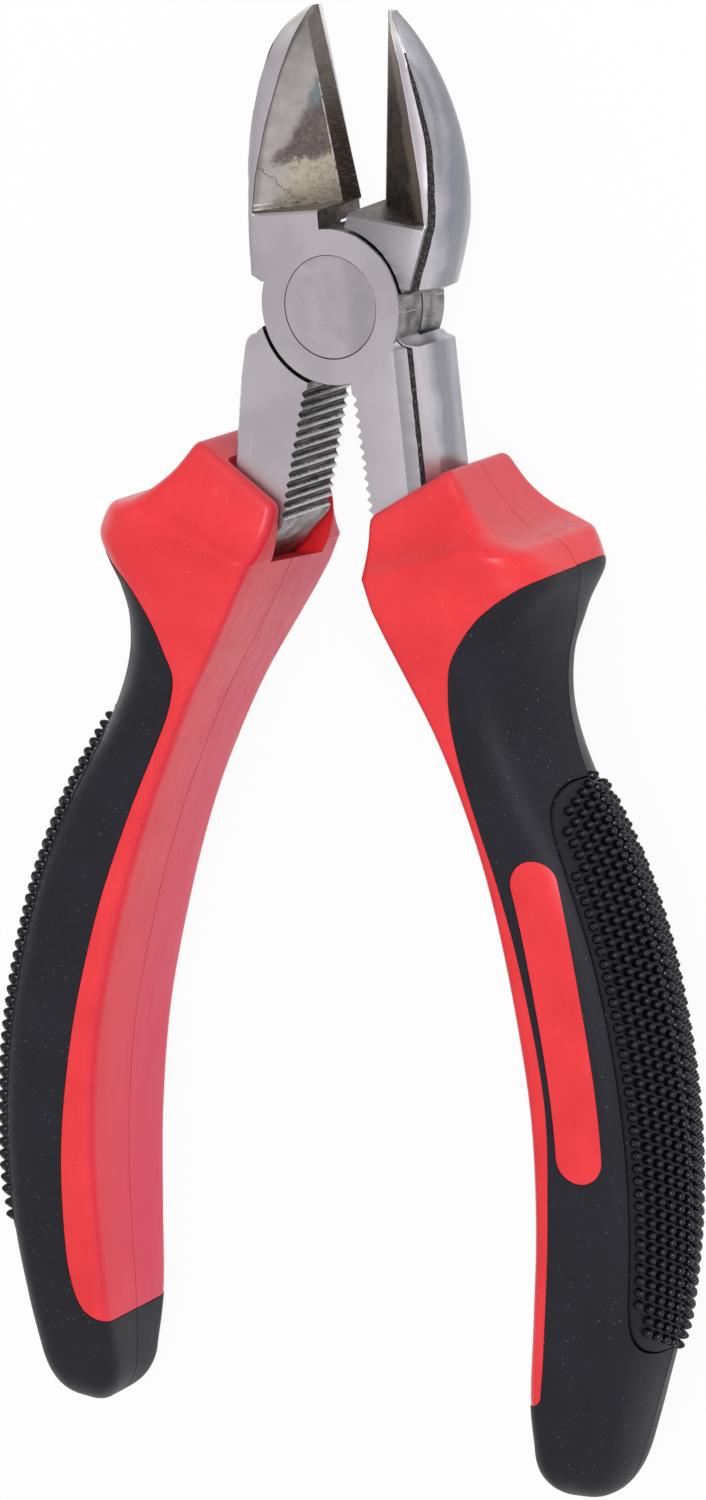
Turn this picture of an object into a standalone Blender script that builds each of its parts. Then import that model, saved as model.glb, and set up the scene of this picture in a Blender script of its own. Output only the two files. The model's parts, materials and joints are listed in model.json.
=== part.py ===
"""Diagonal cutter with a riveted lap joint and two-colour moulded grips.

Every piece is drawn with the jaws closed, the pivot at the origin, the jaws towards +Y and the
front face towards +Z. Each half then turns about the pivot to the resting opening.
"""
import math
from collections import namedtuple

import bmesh
import bpy
from mathutils import Vector

MM = 0.001

# Driving sizes, in millimetres and degrees
OPENING = 15.0
HEAD_THICKNESS = 11.0
BOSS_RADIUS = 9.3
BOSS_CLEARANCE = 0.4
JOINT_GAP = 0.3
BOSS_PROUD = 0.05
FIT_GAP = 0.3

RIVET_HEAD_RADIUS = 6.1
RIVET_HEAD_DEPTH = 2.2
RIVET_SHANK_RADIUS = 3.8
RIVET_TAIL_RADIUS = 5.0
RIVET_TAIL_DEPTH = 1.8
RIVET_BELOW_FLUSH = 0.02

JAW_LENGTH = 35.2
JAW_OVERHANG = 2.6
JAW_SHOULDER = 4.2
HEEL_DRAW_IN = 0.5
HEEL_CORNER = 1.2
HEEL_CORNER_LENGTH = 0.8
JAW_CURVE = 2.1
JAW_NOSE = 0.8
EDGE_FROM_BOSS = 2.4
EDGE_GAP = 0.1
EDGE_LAND = 0.8
EDGE_BEVEL_WIDTH = 1.5
EDGE_BEVEL_RISE = 2.6
BACK_BEVEL_WIDTH = 0.6
BEVEL_OUTER = 9.6
BEVEL_BULGE = 0.9
FLOOR_DROP = 0.9
FLOOR_SLANT = 0.3
FRONT_FALL = 2.2
TIP_FRONT = 1.5
TIP_BACK = -0.1
TIP_BLUNT = 0.2
FLANK_POWER = 6.0
FLANK_LEAN = 0.8
FLANK_TOP = 0.82
FRONT_CORNER = 0.7
FLANK_BOTTOM = -0.985
RELIEF = 0.8

SHANK_OVERHANG = 1.2
SHANK_SHOULDER = 5.3
SHANK_INNER = 1.7
SHANK_CHAMFER = 1.0
SHANK_TAPER = 0.045
SHANK_BEND = 0.6
NECK_CHAMFER = 0.4
TOOTH_PITCH = 1.25
TOOTH_DEPTH = 0.55
TOOTH_COUNT = 12
TEETH_FROM_PIVOT = 11.6

COLLAR_FROM_PIVOT = 19.2
COLLAR_WALL = 3.7
RIM_WALL = 2.0
GRIP_LENGTH = 126.0
TANG_WIDTH = 6.0
TANG_HALF_THICKNESS = 2.6
TANG_CHAMFER = 0.5
OVERMOLD_THICKNESS = 2.0
PAD_PROUD = 0.5
PAD_SEAT = 0.9
PAD_REACH = 6.0

# Grip sections, from the collar's rim to the end. Along is a share of GRIP_LENGTH, across is the
# distance from the tool's centre line, half is half the thickness.
Section = namedtuple("Section", "in_along in_x out_along out_x half in_round out_round")
HALF = HEAD_THICKNESS / 2
SHANK_OUTER = BOSS_RADIUS + SHANK_OVERHANG
FLOOR_Y = BOSS_RADIUS + EDGE_FROM_BOSS
HEEL_MIDDLE = (JAW_SHOULDER + FLOOR_Y) / 2
RIM = Section(0.044, SHANK_INNER + 1.0, 0.0, SHANK_OUTER + COLLAR_WALL, HALF + RIM_WALL, 1.0, 2.6)
GRIP_SECTIONS = (
    RIM,
    Section(0.068, 2.9, 0.031, 17.2, 8.6, 1.2, 3.4),
    Section(0.086, 3.2, 0.058, 20.4, 10.5, 1.5, 5.0),
    Section(0.099, 3.6, 0.076, 24.4, 12.2, 1.6, 6.5),
    Section(0.114, 4.0, 0.108, 26.6, 12.0, 1.8, 7.5),
    Section(0.132, 4.7, 0.131, 26.0, 11.8, 2.0, 7.5),
    Section(0.157, 5.8, 0.154, 23.8, 11.4, 2.2, 7.0),
    Section(0.195, 7.6, 0.190, 21.7, 10.8, 2.2, 6.4),
    Section(0.248, 10.1, 0.240, 21.2, 10.1, 2.2, 6.0),
    Section(0.312, 12.4, 0.302, 23.6, 9.6, 2.2, 6.0),
    Section(0.387, 14.6, 0.382, 27.9, 9.6, 2.2, 6.2),
    Section(0.483, 16.4, 0.483, 31.0, 9.9, 2.2, 6.4),
    Section(0.602, 17.4, 0.610, 32.2, 9.9, 2.2, 6.6),
    Section(0.713, 16.5, 0.725, 31.4, 9.3, 2.2, 6.4),
    Section(0.812, 14.4, 0.824, 28.9, 8.3, 2.4, 6.0),
    Section(0.891, 12.4, 0.899, 25.8, 7.5, 2.6, 5.6),
    Section(0.945, 11.4, 0.950, 22.6, 6.7, 2.8, 5.0),
    Section(0.976, 11.4, 0.981, 20.0, 5.5, 2.6, 4.0),
    Section(0.995, 12.6, 0.997, 17.6, 3.6, 1.6, 1.9),
)
FAR_OUT = 2 * max(section.out_x for section in GRIP_SECTIONS)
FAR_UP = 2 * max(section.half for section in GRIP_SECTIONS)

# Edge of the black skin on the two faces of a grip: share along the grip, share across its section
SKIN_EDGE_OVAL_FACE = ((0.100, 1.10), (0.106, 0.86), (0.130, 0.66), (0.160, 0.48), (0.200, 0.37),
                       (0.245, 0.27), (0.300, 0.15), (0.385, 0.14), (0.480, 0.15), (0.600, 0.17),
                       (0.700, 0.14), (0.810, 0.11), (0.880, 0.09), (0.900, 0.06), (0.906, -0.10))
SKIN_EDGE_PLAIN_FACE = ((0.100, 1.10), (0.112, 0.95), (0.140, 0.80), (0.180, 0.53), (0.225, 0.26),
                        (0.262, 0.15), (0.312, 0.15), (0.385, 0.17), (0.480, 0.21), (0.600, 0.25),
                        (0.700, 0.28), (0.800, 0.29), (0.870, 0.25), (0.897, 0.14), (0.906, -0.10))
OVAL_TOP = (0.390, 0.52)
OVAL_MIDDLE = (0.490, 0.47)
OVAL_BOTTOM = (0.650, 0.46)
OVAL_WIDTH = 6.0
OVAL_TURN = 8
PAD_TOP = 0.302
PAD_BOTTOM = 0.850
PAD_EDGE_DROP = 1.9
PAD_END_WIDTH = 0.45
PAD_END_POWER = 6
PAD_STEPS = 12
BEND_ALONG = 0.105
TANG_STATIONS = (0.16, 0.24, 0.33, 0.43, 0.54, 0.66, 0.78)

FACE_OVERLAP = 0.002
END_DRAW = 0.5
PAST_END = 1.1
RINGS_BETWEEN = 1
BOSS_SIDES = 64
RIVET_SIDES = 48
CORNER_STEPS = 2
OUTER_CORNER_STEPS = 4
LEAST_IN_ROUND = 0.3
LEAST_OUT_ROUND = 0.6
JAW_RINGS = 12
JAW_PROFILE_STEPS = 9


def material(name, colour, roughness, metallic):
    made = bpy.data.materials.new(name)
    made.use_nodes = True
    shader = made.node_tree.nodes["Principled BSDF"]
    shader.inputs["Base Color"].default_value = (*colour, 1.0)
    shader.inputs["Roughness"].default_value = roughness
    shader.inputs["Metallic"].default_value = metallic
    return made


def solid(name, rings):
    """Skin closed rings of equal length into one capped body."""
    mesh = bmesh.new()
    rows = [[mesh.verts.new(Vector(p) * MM) for p in ring] for ring in rings]
    count = len(rows[0])
    for low, high in zip(rows, rows[1:]):
        for i in range(count):
            j = (i + 1) % count
            mesh.faces.new((low[i], low[j], high[j], high[i]))
    mesh.faces.new(list(reversed(rows[0])))
    mesh.faces.new(rows[-1])
    bmesh.ops.triangulate(mesh, faces=mesh.faces)
    bmesh.ops.recalc_face_normals(mesh, faces=mesh.faces)
    data = bpy.data.meshes.new(name)
    mesh.to_mesh(data)
    mesh.free()
    made = bpy.data.objects.new(name, data)
    bpy.context.collection.objects.link(made)
    return made


def prism(name, outline, low, high):
    """A plan outline given a height along Z."""
    return solid(name, [[(x, y, z) for x, y in outline] for z in (low, high)])


def disc(name, radius, low, high, sides):
    angles = [2 * math.pi * i / sides for i in range(sides)]
    return prism(name, [(radius * math.cos(a), radius * math.sin(a)) for a in angles], low, high)


def combine(target, operation, *others):
    """Apply exact Boolean steps to the target and take the other bodies away."""
    for other in others:
        step = target.modifiers.new("step", "BOOLEAN")
        step.operation = operation
        step.object = other
        bpy.context.view_layer.update()
        shape = target.evaluated_get(bpy.context.evaluated_depsgraph_get())
        data = bpy.data.meshes.new_from_object(shape)
        target.modifiers.remove(step)
        old = target.data
        target.data = data
        bpy.data.meshes.remove(old)
        bpy.data.objects.remove(other)
    return target


def copy_of(source, name):
    made = source.copy()
    made.data = source.data.copy()
    made.name = name
    bpy.context.collection.objects.link(made)
    return made


def turned_over(source):
    """Turn a body half round about the tool's long axis."""
    for vertex in source.data.vertices:
        vertex.co.x = -vertex.co.x
        vertex.co.z = -vertex.co.z
    return source


def mirrored(source):
    """Mirror a body across the tool's centre plane."""
    for vertex in source.data.vertices:
        vertex.co.x = -vertex.co.x
    source.data.flip_normals()
    return source


def blend(values, place):
    """Smooth curve through evenly numbered values, read at a fractional place."""
    last = len(values) - 1
    i = min(int(place), last - 1)
    f = place - i
    before, start = values[max(i - 1, 0)], values[i]
    end, after = values[i + 1], values[min(i + 2, last)]
    return start + 0.5 * f * (end - before + f * (2 * before - 5 * start + 4 * end - after
                                                  + f * (3 * (start - end) + after - before)))


def grip_y(along):
    return -COLLAR_FROM_PIVOT - along * GRIP_LENGTH


def grip_stations(steps):
    """Sections with a smooth run of in-between ones."""
    last = len(GRIP_SECTIONS) - 1
    columns = list(zip(*GRIP_SECTIONS))
    places = [i / steps for i in range(last * steps + 1)]
    return [Section(*(blend(column, place) for column in columns)) for place in places]


def edge_x(along, side):
    """Distance of the grip's inner or outer edge from the centre line at a share of its length."""
    rows = grip_stations(RINGS_BETWEEN + 1)
    pairs = [(s.in_along, s.in_x) if side == "inner" else (s.out_along, s.out_x) for s in rows]
    for (a, x), (b, z) in zip(pairs, pairs[1:]):
        if along <= b:
            return x + (z - x) * max(along - a, 0.0) / (b - a)
    return pairs[-1][1]


def grip_point(along, across):
    inner = edge_x(along, "inner")
    return (inner + (edge_x(along, "outer") - inner) * across, grip_y(along))


def grip_ring(section, inset):
    """Rounded section across the grip, drawn in by the inset on every side."""
    start = Vector((section.in_x, grip_y(section.in_along)))
    end = Vector((section.out_x, grip_y(section.out_along)))
    width = (end - start).length
    way = (end - start) / width
    low, high = inset, width - inset
    half = section.half - inset
    in_round = max(section.in_round - inset, LEAST_IN_ROUND)
    out_round = max(section.out_round - inset, LEAST_OUT_ROUND)
    flat = []
    corners = ((high, 1, out_round, 0.0, OUTER_CORNER_STEPS), (low, 1, in_round, 90.0, CORNER_STEPS),
               (low, -1, in_round, 180.0, CORNER_STEPS), (high, -1, out_round, 270.0, OUTER_CORNER_STEPS))
    for edge, face, radius, turn, steps in corners:
        centre_x = edge - radius if edge == high else edge + radius
        centre_z = face * (half - radius)
        for i in range(steps + 1):
            angle = math.radians(turn + 90.0 * i / steps)
            flat.append((centre_x + radius * math.cos(angle), centre_z + radius * math.sin(angle)))
    return [(*(start + way * u), v) for u, v in flat]


def grip_body(name, inset):
    """The whole handle outside, or that shape drawn in and open past the rim."""
    rows = grip_stations(RINGS_BETWEEN + 1)
    rings = [grip_ring(row, inset) for row in rows]
    if inset > 0:
        rings.pop()
        rings[0] = [(x, y + RIM_WALL, z) for x, y, z in rings[0]]
        rings[-1] = [(x, y + inset * END_DRAW, z) for x, y, z in rings[-1]]
    return solid(name, rings)


def skin_outline(edge, gap):
    """Plan of the black side of the grip, outside the given edge; gap widens it."""
    line = [Vector(grip_point(along, across)) for along, across in edge]
    moved = []
    for i, point in enumerate(line):
        way = line[min(i + 1, len(line) - 1)] - line[max(i - 1, 0)]
        side = Vector((way.y, -way.x)).normalized()
        moved.append(tuple(point + side * gap))
    end = grip_y(PAST_END)
    return moved + [(moved[-1][0], end), (FAR_OUT, end), (FAR_OUT, moved[0][1])]


def oval_outline(grow):
    """Long rounded window that follows the handle."""
    spine = []
    for i in range(OVAL_TURN + 1):
        place = 2.0 * i / OVAL_TURN
        along = blend((OVAL_TOP[0], OVAL_MIDDLE[0], OVAL_BOTTOM[0]), place)
        across = blend((OVAL_TOP[1], OVAL_MIDDLE[1], OVAL_BOTTOM[1]), place)
        spine.append(Vector(grip_point(along, across)))
    radius = OVAL_WIDTH / 2 + grow
    outline = []
    for line in (spine, spine[::-1]):
        for before, point, after in zip(line, line[1:], line[2:]):
            way = (after - before).normalized()
            outline.append(tuple(point + radius * Vector((way.y, -way.x))))
        way = line[-1] - line[-2]
        start = math.atan2(way.y, way.x) - math.pi / 2
        for i in range(OVAL_TURN + 1):
            angle = start + math.pi * i / OVAL_TURN
            outline.append(tuple(line[-1] + radius * Vector((math.cos(angle), math.sin(angle)))))
    return outline


def skin_cutter(gap):
    """Everything on the black side of both faces' edges, less the oval window."""
    front = prism("skin_front", skin_outline(SKIN_EDGE_OVAL_FACE, gap), -gap, FAR_UP)
    back = prism("skin_back", skin_outline(SKIN_EDGE_PLAIN_FACE, gap), -FAR_UP, gap + FACE_OVERLAP)
    combine(front, "DIFFERENCE", prism("oval", oval_outline(FIT_GAP - gap), HALF, 2 * FAR_UP))
    return combine(front, "UNION", back)


def pad_cutter(grow):
    """Block over the outside of the grip, rounded at both ends, seen along X."""
    top, bottom = grip_y(PAD_TOP), grip_y(PAD_BOTTOM)
    rows = grip_stations(RINGS_BETWEEN + 1)
    sides = []
    for i in range(PAD_STEPS + 1):
        share = i / PAD_STEPS
        y = top + (bottom - top) * share + grow * math.cos(math.pi * share)
        along = (grip_y(0) - y) / GRIP_LENGTH
        half = min(rows, key=lambda row: abs(row.out_along - along)).half - PAD_EDGE_DROP
        swell = (1 - abs(2 * share - 1) ** PAD_END_POWER) ** 0.5
        inner = edge_x(along, "outer") - PAD_REACH
        sides.append((inner, y, half * (PAD_END_WIDTH + (1 - PAD_END_WIDTH) * swell) + grow))
    outline = sides + [(x, y, -z) for x, y, z in reversed(sides)]
    return solid("pad_block", [outline, [(FAR_OUT, y, z) for _, y, z in outline]])


def tang_rows(gap):
    """Shank and tang as rows of (y, inner x, outer x, half thickness, chamfer)."""
    outer = SHANK_OUTER + gap
    half = HALF + gap
    neck = -SHANK_SHOULDER + NECK_CHAMFER
    rows = [(neck + 2 * NECK_CHAMFER, SHANK_INNER, BOSS_RADIUS - 2 * NECK_CHAMFER, HALF, NECK_CHAMFER),
            (neck, SHANK_INNER, BOSS_RADIUS, HALF, NECK_CHAMFER),
            (-SHANK_SHOULDER, SHANK_INNER, outer, HALF, SHANK_CHAMFER)]
    if gap > 0:
        rows = [(-SHANK_SHOULDER, SHANK_INNER - gap, outer, half, SHANK_CHAMFER)]
    for i in range(TOOTH_COUNT + 1):
        y = -TEETH_FROM_PIVOT - i * TOOTH_PITCH
        tip = SHANK_INNER + SHANK_TAPER * i * TOOTH_PITCH - gap
        rows.append((y, tip, outer, half, SHANK_CHAMFER))
        if gap == 0 and i < TOOTH_COUNT:
            rows.append((y - TOOTH_PITCH / 2, tip + TOOTH_DEPTH, outer, half, SHANK_CHAMFER))
    inner = edge_x(BEND_ALONG, "inner") - SHANK_BEND - gap
    rows.append((grip_y(BEND_ALONG), inner, outer + SHANK_BEND, half, SHANK_CHAMFER))
    for along in TANG_STATIONS:
        middle = grip_point(along, 0.5)[0]
        reach = TANG_WIDTH / 2 + gap
        y = grip_y(along) - (gap if along == TANG_STATIONS[-1] else 0.0)
        rows.append((y, middle - reach, middle + reach, TANG_HALF_THICKNESS + gap, TANG_CHAMFER))
    return rows


def tang_body(name, gap):
    rings = []
    for y, inner, outer, half, cut in tang_rows(gap):
        rings.append([(inner, y, -half), (outer - cut, y, -half), (outer, y, cut - half),
                      (outer, y, half - cut), (outer - cut, y, half), (inner, y, half)])
    return solid(name, rings)


def taper(y):
    """Share of the way from the bevel's floor to the tip of the jaw."""
    return max(y - FLOOR_Y, 0.0) / (JAW_LENGTH - FLOOR_Y)


def jaw_width(y):
    """Outside of the right jaw: nearly straight heel, then a long curve to the tip."""
    wide = BOSS_RADIUS + JAW_OVERHANG
    if y <= FLOOR_Y:
        return wide - HEEL_DRAW_IN * ((FLOOR_Y - y) / (FLOOR_Y - JAW_SHOULDER)) ** 2
    return EDGE_GAP + (wide - EDGE_GAP) * (1 - taper(y) ** JAW_CURVE) ** JAW_NOSE


def jaw_front(y):
    """Height of the jaw's front, level by the boss, dropping to the floor and on to the tip."""
    drop = FLOOR_DROP * min(max((y - HEEL_MIDDLE) / (FLOOR_Y - HEEL_MIDDLE), 0.0), 1.0)
    return HALF - drop - (HALF - FLOOR_DROP - TIP_FRONT) * taper(y) ** FRONT_FALL


def jaw_back(y):
    return -HALF + (HALF + TIP_BACK) * taper(y)


def jaw_flank(y):
    """Crowned outside of the jaw from front to back, leaning in towards the front."""
    low, high = jaw_back(y), jaw_front(y)
    points = []
    for i in range(JAW_PROFILE_STEPS + 1):
        level = FLANK_TOP + (FLANK_BOTTOM - FLANK_TOP) * i / JAW_PROFILE_STEPS
        swell = (1 - abs(level) ** FLANK_POWER) ** (1 / FLANK_POWER)
        lean = FLANK_LEAN * (1 + level) / 2 * (1 - taper(y))
        x = EDGE_GAP + (jaw_width(y) - EDGE_GAP) * swell - lean
        points.append((x, y, (low + high) / 2 + level * (high - low) / 2))
    return points


def jaw_section(y, bevelled):
    """Section across the right jaw: square inside at the heel, sharpened along the blade."""
    fade = 1 - taper(y)
    back, front = jaw_back(y), jaw_front(y)
    edge = back + EDGE_LAND
    inside = [(RELIEF + BACK_BEVEL_WIDTH, y, back), (RELIEF, y, edge), (RELIEF, y, front)]
    if bevelled:
        inside = [(EDGE_GAP + BACK_BEVEL_WIDTH * fade, y, back), (EDGE_GAP, y, edge),
                  (EDGE_GAP + EDGE_BEVEL_WIDTH * fade, y, edge + EDGE_BEVEL_RISE * fade)]
    flank = jaw_flank(y)
    outer = EDGE_GAP + BEVEL_OUTER * fade + 4 * BEVEL_BULGE * fade * taper(y)
    return [*inside, (min(outer, flank[0][0] - FRONT_CORNER * fade), y, front), *flank]


def jaw_body():
    """Right jaw from its shoulder past the bevel's floor to the tip."""
    heel = [jaw_section(y, False) for y in (JAW_SHOULDER, HEEL_MIDDLE, FLOOR_Y - FLOOR_SLANT)]
    outside = BOSS_RADIUS / 2
    foot = [(x - (HEEL_CORNER if x > outside else 0.0), y - HEEL_CORNER_LENGTH, z) for x, y, z in heel[0]]
    length = JAW_LENGTH - TIP_BLUNT - FLOOR_Y
    blade = [jaw_section(FLOOR_Y + length * i / JAW_RINGS, True) for i in range(JAW_RINGS + 1)]
    return solid("jaw", [foot, *heel, *blade])


def make_lever(name, jaw, shank, face):
    """Jaw and shank cleared for the other half's boss, joined by their own; face is 1 at the front."""
    far = HEAD_THICKNESS
    step = JOINT_GAP / 2
    other = (-far, step) if face > 0 else (-step, far)
    own = (step, HALF + BOSS_PROUD) if face > 0 else (-HALF - BOSS_PROUD, -step)
    lever = disc(name, BOSS_RADIUS, *own, BOSS_SIDES)
    for limb in (jaw, shank):
        room = disc("room", BOSS_RADIUS + BOSS_CLEARANCE, *other, BOSS_SIDES)
        combine(lever, "UNION", combine(limb, "DIFFERENCE", room))
    head = RIVET_HEAD_RADIUS if face > 0 else RIVET_TAIL_RADIUS
    deep = RIVET_HEAD_DEPTH if face > 0 else RIVET_TAIL_DEPTH
    seat = (HALF - deep - FIT_GAP, far) if face > 0 else (-far, -HALF + deep + FIT_GAP)
    bore = disc("bore", RIVET_SHANK_RADIUS + FIT_GAP, -far, far, RIVET_SIDES)
    return combine(lever, "DIFFERENCE", bore, disc("seat", head + FIT_GAP, *seat, RIVET_SIDES))


def make_levers():
    jaw = jaw_body()
    shank = tang_body("shank", 0.0)
    left_jaw = mirrored(copy_of(jaw, "left_jaw"))
    left_shank = mirrored(copy_of(shank, "left_shank"))
    front = make_lever("front_jaw_lever", left_jaw, shank, 1)
    rear = make_lever("rear_jaw_lever", jaw, left_shank, -1)
    return front, rear


def make_rivet():
    front, back = HALF - RIVET_BELOW_FLUSH, -HALF + RIVET_BELOW_FLUSH
    steps = ((RIVET_HEAD_RADIUS, front), (RIVET_HEAD_RADIUS, HALF - RIVET_HEAD_DEPTH),
             (RIVET_SHANK_RADIUS, HALF - RIVET_HEAD_DEPTH), (RIVET_SHANK_RADIUS, -HALF + RIVET_TAIL_DEPTH),
             (RIVET_TAIL_RADIUS, -HALF + RIVET_TAIL_DEPTH), (RIVET_TAIL_RADIUS, back))
    angles = [2 * math.pi * i / RIVET_SIDES for i in range(RIVET_SIDES)]
    rings = [[(r * math.cos(a), r * math.sin(a), z) for a in angles] for r, z in steps]
    return solid("pivot_rivet", rings)


def make_grip():
    """Core, skin and pad of the right handle."""
    core = grip_body("grip_core_right", 0.0)
    skin_room = combine(skin_cutter(FIT_GAP), "DIFFERENCE", grip_body("inside", OVERMOLD_THICKNESS))
    combine(core, "DIFFERENCE", skin_room, tang_body("tang_room", FIT_GAP))
    skin = grip_body("grip_overmold_right", 0.0)
    combine(skin, "INTERSECT", skin_cutter(0.0))
    combine(skin, "DIFFERENCE", grip_body("inside", OVERMOLD_THICKNESS - FIT_GAP))
    pad_room = combine(pad_cutter(FIT_GAP), "DIFFERENCE", grip_body("inside", PAD_SEAT + FIT_GAP))
    combine(skin, "DIFFERENCE", pad_room)
    pad = grip_body("grip_pad_right", -PAD_PROUD)
    combine(pad, "INTERSECT", pad_cutter(0.0))
    combine(pad, "DIFFERENCE", grip_body("inside", PAD_SEAT))
    return core, skin, pad


def main():
    for old in list(bpy.data.objects):
        bpy.data.objects.remove(old)
    steel = dict(colour=(0.62, 0.60, 0.62), roughness=0.3, metallic=1.0)
    looks = {"lever": steel, "rivet": steel,
             "core": dict(colour=(0.80, 0.045, 0.05), roughness=0.45, metallic=0.0),
             "overmold": dict(colour=(0.02, 0.02, 0.025), roughness=0.6, metallic=0.0),
             "pad": dict(colour=(0.008, 0.008, 0.009), roughness=0.35, metallic=0.0)}
    front, rear = make_levers()
    rivet = make_rivet()
    right = make_grip()
    left = [turned_over(copy_of(piece, piece.name.replace("right", "left"))) for piece in right]
    tool = bpy.data.objects.new("tool", None)
    halves = {}
    for name, turn in (("front_half", 1), ("rear_half", -1)):
        half = bpy.data.objects.new(name, None)
        half.parent = tool
        half.rotation_euler.z = math.radians(turn * OPENING / 2)
        bpy.context.collection.objects.link(half)
        halves[name] = half
    bpy.context.collection.objects.link(tool)
    for piece in (front, rivet, *right):
        piece.parent = halves["front_half"]
    for piece in (rear, *left):
        piece.parent = halves["rear_half"]
    pieces = (front, rear, rivet, *right, *left)
    for piece in pieces:
        kind = next(word for word in looks if word in piece.name)
        piece.data.materials.clear()
        piece.data.materials.append(material(piece.name + "_finish", **looks[kind]))
        piece.data.shade_smooth()
        piece.data.set_sharp_from_angle(angle=math.radians(30))
    bpy.context.view_layer.update()
    corners = [piece.matrix_world @ v.co for piece in pieces for v in piece.data.vertices]
    low = Vector(min(c[i] for c in corners) for i in range(3))
    high = Vector(max(c[i] for c in corners) for i in range(3))
    tool.location = (-(low.x + high.x) / 2, -(low.y + high.y) / 2, -low.z)
    print("pivot at", [round(v, 6) for v in tool.location])
    print("size", [round(v, 6) for v in high - low])


main()
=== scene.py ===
"""Looks of the diagonal cutter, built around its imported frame.

Every piece is drawn with the jaws closed, in millimetres, with the pivot at the origin, the jaws
towards +Y and the front towards +Z. Its object then stands at the pivot, turned to the resting
opening, so that each half's texture space is that same closed drawing in metres.
"""
import json
import math
from collections import namedtuple

import bmesh
import bpy
from mathutils import Matrix, Vector, noise


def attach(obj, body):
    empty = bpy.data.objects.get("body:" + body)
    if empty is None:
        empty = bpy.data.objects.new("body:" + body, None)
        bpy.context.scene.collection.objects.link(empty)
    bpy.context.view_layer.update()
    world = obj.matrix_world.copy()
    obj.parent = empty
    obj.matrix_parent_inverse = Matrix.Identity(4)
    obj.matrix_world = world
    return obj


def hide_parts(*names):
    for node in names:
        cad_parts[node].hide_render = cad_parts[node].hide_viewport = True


MM = 0.001

# Sizes shared with the part's source, in millimetres and degrees
OPENING = 15.0
HEAD_THICKNESS = 11.0
BOSS_RADIUS = 9.3
BOSS_CLEARANCE = 0.4
JOINT_GAP = 0.3
RIVET_HEAD_RADIUS = 6.1
RIVET_HEAD_DEPTH = 2.2
RIVET_SHANK_RADIUS = 3.8
RIVET_TAIL_RADIUS = 5.0
RIVET_TAIL_DEPTH = 1.8
JAW_LENGTH = 35.2
JAW_OVERHANG = 2.6
JAW_SHOULDER = 4.2
HEEL_DRAW_IN = 0.5
JAW_CURVE = 2.1
JAW_NOSE = 0.8
FLOOR_Y = BOSS_RADIUS + 2.4
EDGE_GAP = 0.1
EDGE_LAND = 0.8
EDGE_BEVEL_WIDTH = 1.5
EDGE_BEVEL_RISE = 2.6
BACK_BEVEL_WIDTH = 0.6
TIP_BACK = -0.1
TIP_BLUNT = 0.2
RELIEF = 0.45
SHANK_OUTER = BOSS_RADIUS + 1.2
SHANK_SHOULDER = 5.3
SHANK_INNER = 1.7
SHANK_TAPER = 0.045
NECK_CHAMFER = 0.4
TOOTH_PITCH = 1.25
TOOTH_DEPTH = 0.55
TOOTH_COUNT = 13
TEETH_FROM_PIVOT = 10.35
COLLAR_FROM_PIVOT = 19.2
COLLAR_WALL = 3.7
RIM_WALL = 2.0
GRIP_LENGTH = 126.0
TANG_WIDTH = 6.0
TANG_HALF_THICKNESS = 2.6
OVERMOLD_THICKNESS = 2.0
PAD_SEAT = 0.9
PAD_REACH = 5.0
HALF = HEAD_THICKNESS / 2

# Sections of the grip: places along it, edges, half height, corner radii, curvature and ridge outside
Section = namedtuple("Section", "in_along in_x out_along out_x half in_round out_round crown ridge")
RIM_INNER = SHANK_INNER + 1.4
RIM_OUTER = SHANK_OUTER + COLLAR_WALL + 0.5
GRIP_SECTIONS = [Section(*row) for row in (
    (0.044, RIM_INNER, 0.0, RIM_OUTER, HALF + RIM_WALL, 1.2, 1.2, 0.0, 0),
    (0.068, 3.05, 0.032, 16.9, 8.5, 1.2, 1.4, 0.0, 0),
    (0.086, 3.15, 0.0535, 19.0, 10.2, 1.4, 1.8, 0.0, 0),
    (0.0965, 3.3, 0.0655, 20.8, 11.85, 1.9, 2.6, 0.0, 0),
    (0.0988, 3.4, 0.0730, 22.9, 12.2, 2.2, 3.8, 0.0, 0),
    (0.1012, 3.5, 0.0795, 24.6, 12.18, 2.1, 5.0, 0.0, 0),
    (0.114, 4.0, 0.098, 26.1, 11.95, 1.5, 6.4, 0.0, 0),
    (0.124, 4.4, 0.112, 26.5, 11.9, 1.25, 6.8, 0.01, 0),
    (0.134, 4.8, 0.131, 25.95, 11.8, 1.3, 7.0, 0.043, 1),
    (0.157, 5.8, 0.154, 25.35, 11.4, 1.3, 7.0, 0.065, 5),
    (0.195, 7.6, 0.190, 23.9, 10.8, 1.4, 6.4, 0.054, 12),
    (0.248, 10.1, 0.240, 23.5, 10.1, 1.5, 5.6, 0.051, 14),
    (0.312, 12.4, 0.302, 25.0, 9.6, 1.6, 4.9, 0.043, 13),
    (0.387, 14.6, 0.382, 28.8, 9.6, 1.8, 4.6, 0.038, 12),
    (0.483, 16.4, 0.483, 31.9, 9.9, 1.9, 4.6, 0.035, 12),
    (0.602, 17.4, 0.610, 33.25, 9.9, 1.9, 4.6, 0.035, 12),
    (0.713, 16.5, 0.725, 32.45, 9.5, 1.8, 4.5, 0.0385, 12),
    (0.812, 14.4, 0.824, 29.9, 8.7, 1.7, 4.3, 0.0515, 10),
    (0.891, 12.4, 0.899, 26.4, 7.9, 1.9, 4.4, 0.0635, 6),
    (0.945, 11.4, 0.950, 23.7, 7.1, 3.0, 5.0, 0.085, 1),
)]
FAR_OUT = 2 * max(section.out_x for section in GRIP_SECTIONS)
FAR_UP = 2 * max(section.half for section in GRIP_SECTIONS)

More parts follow.
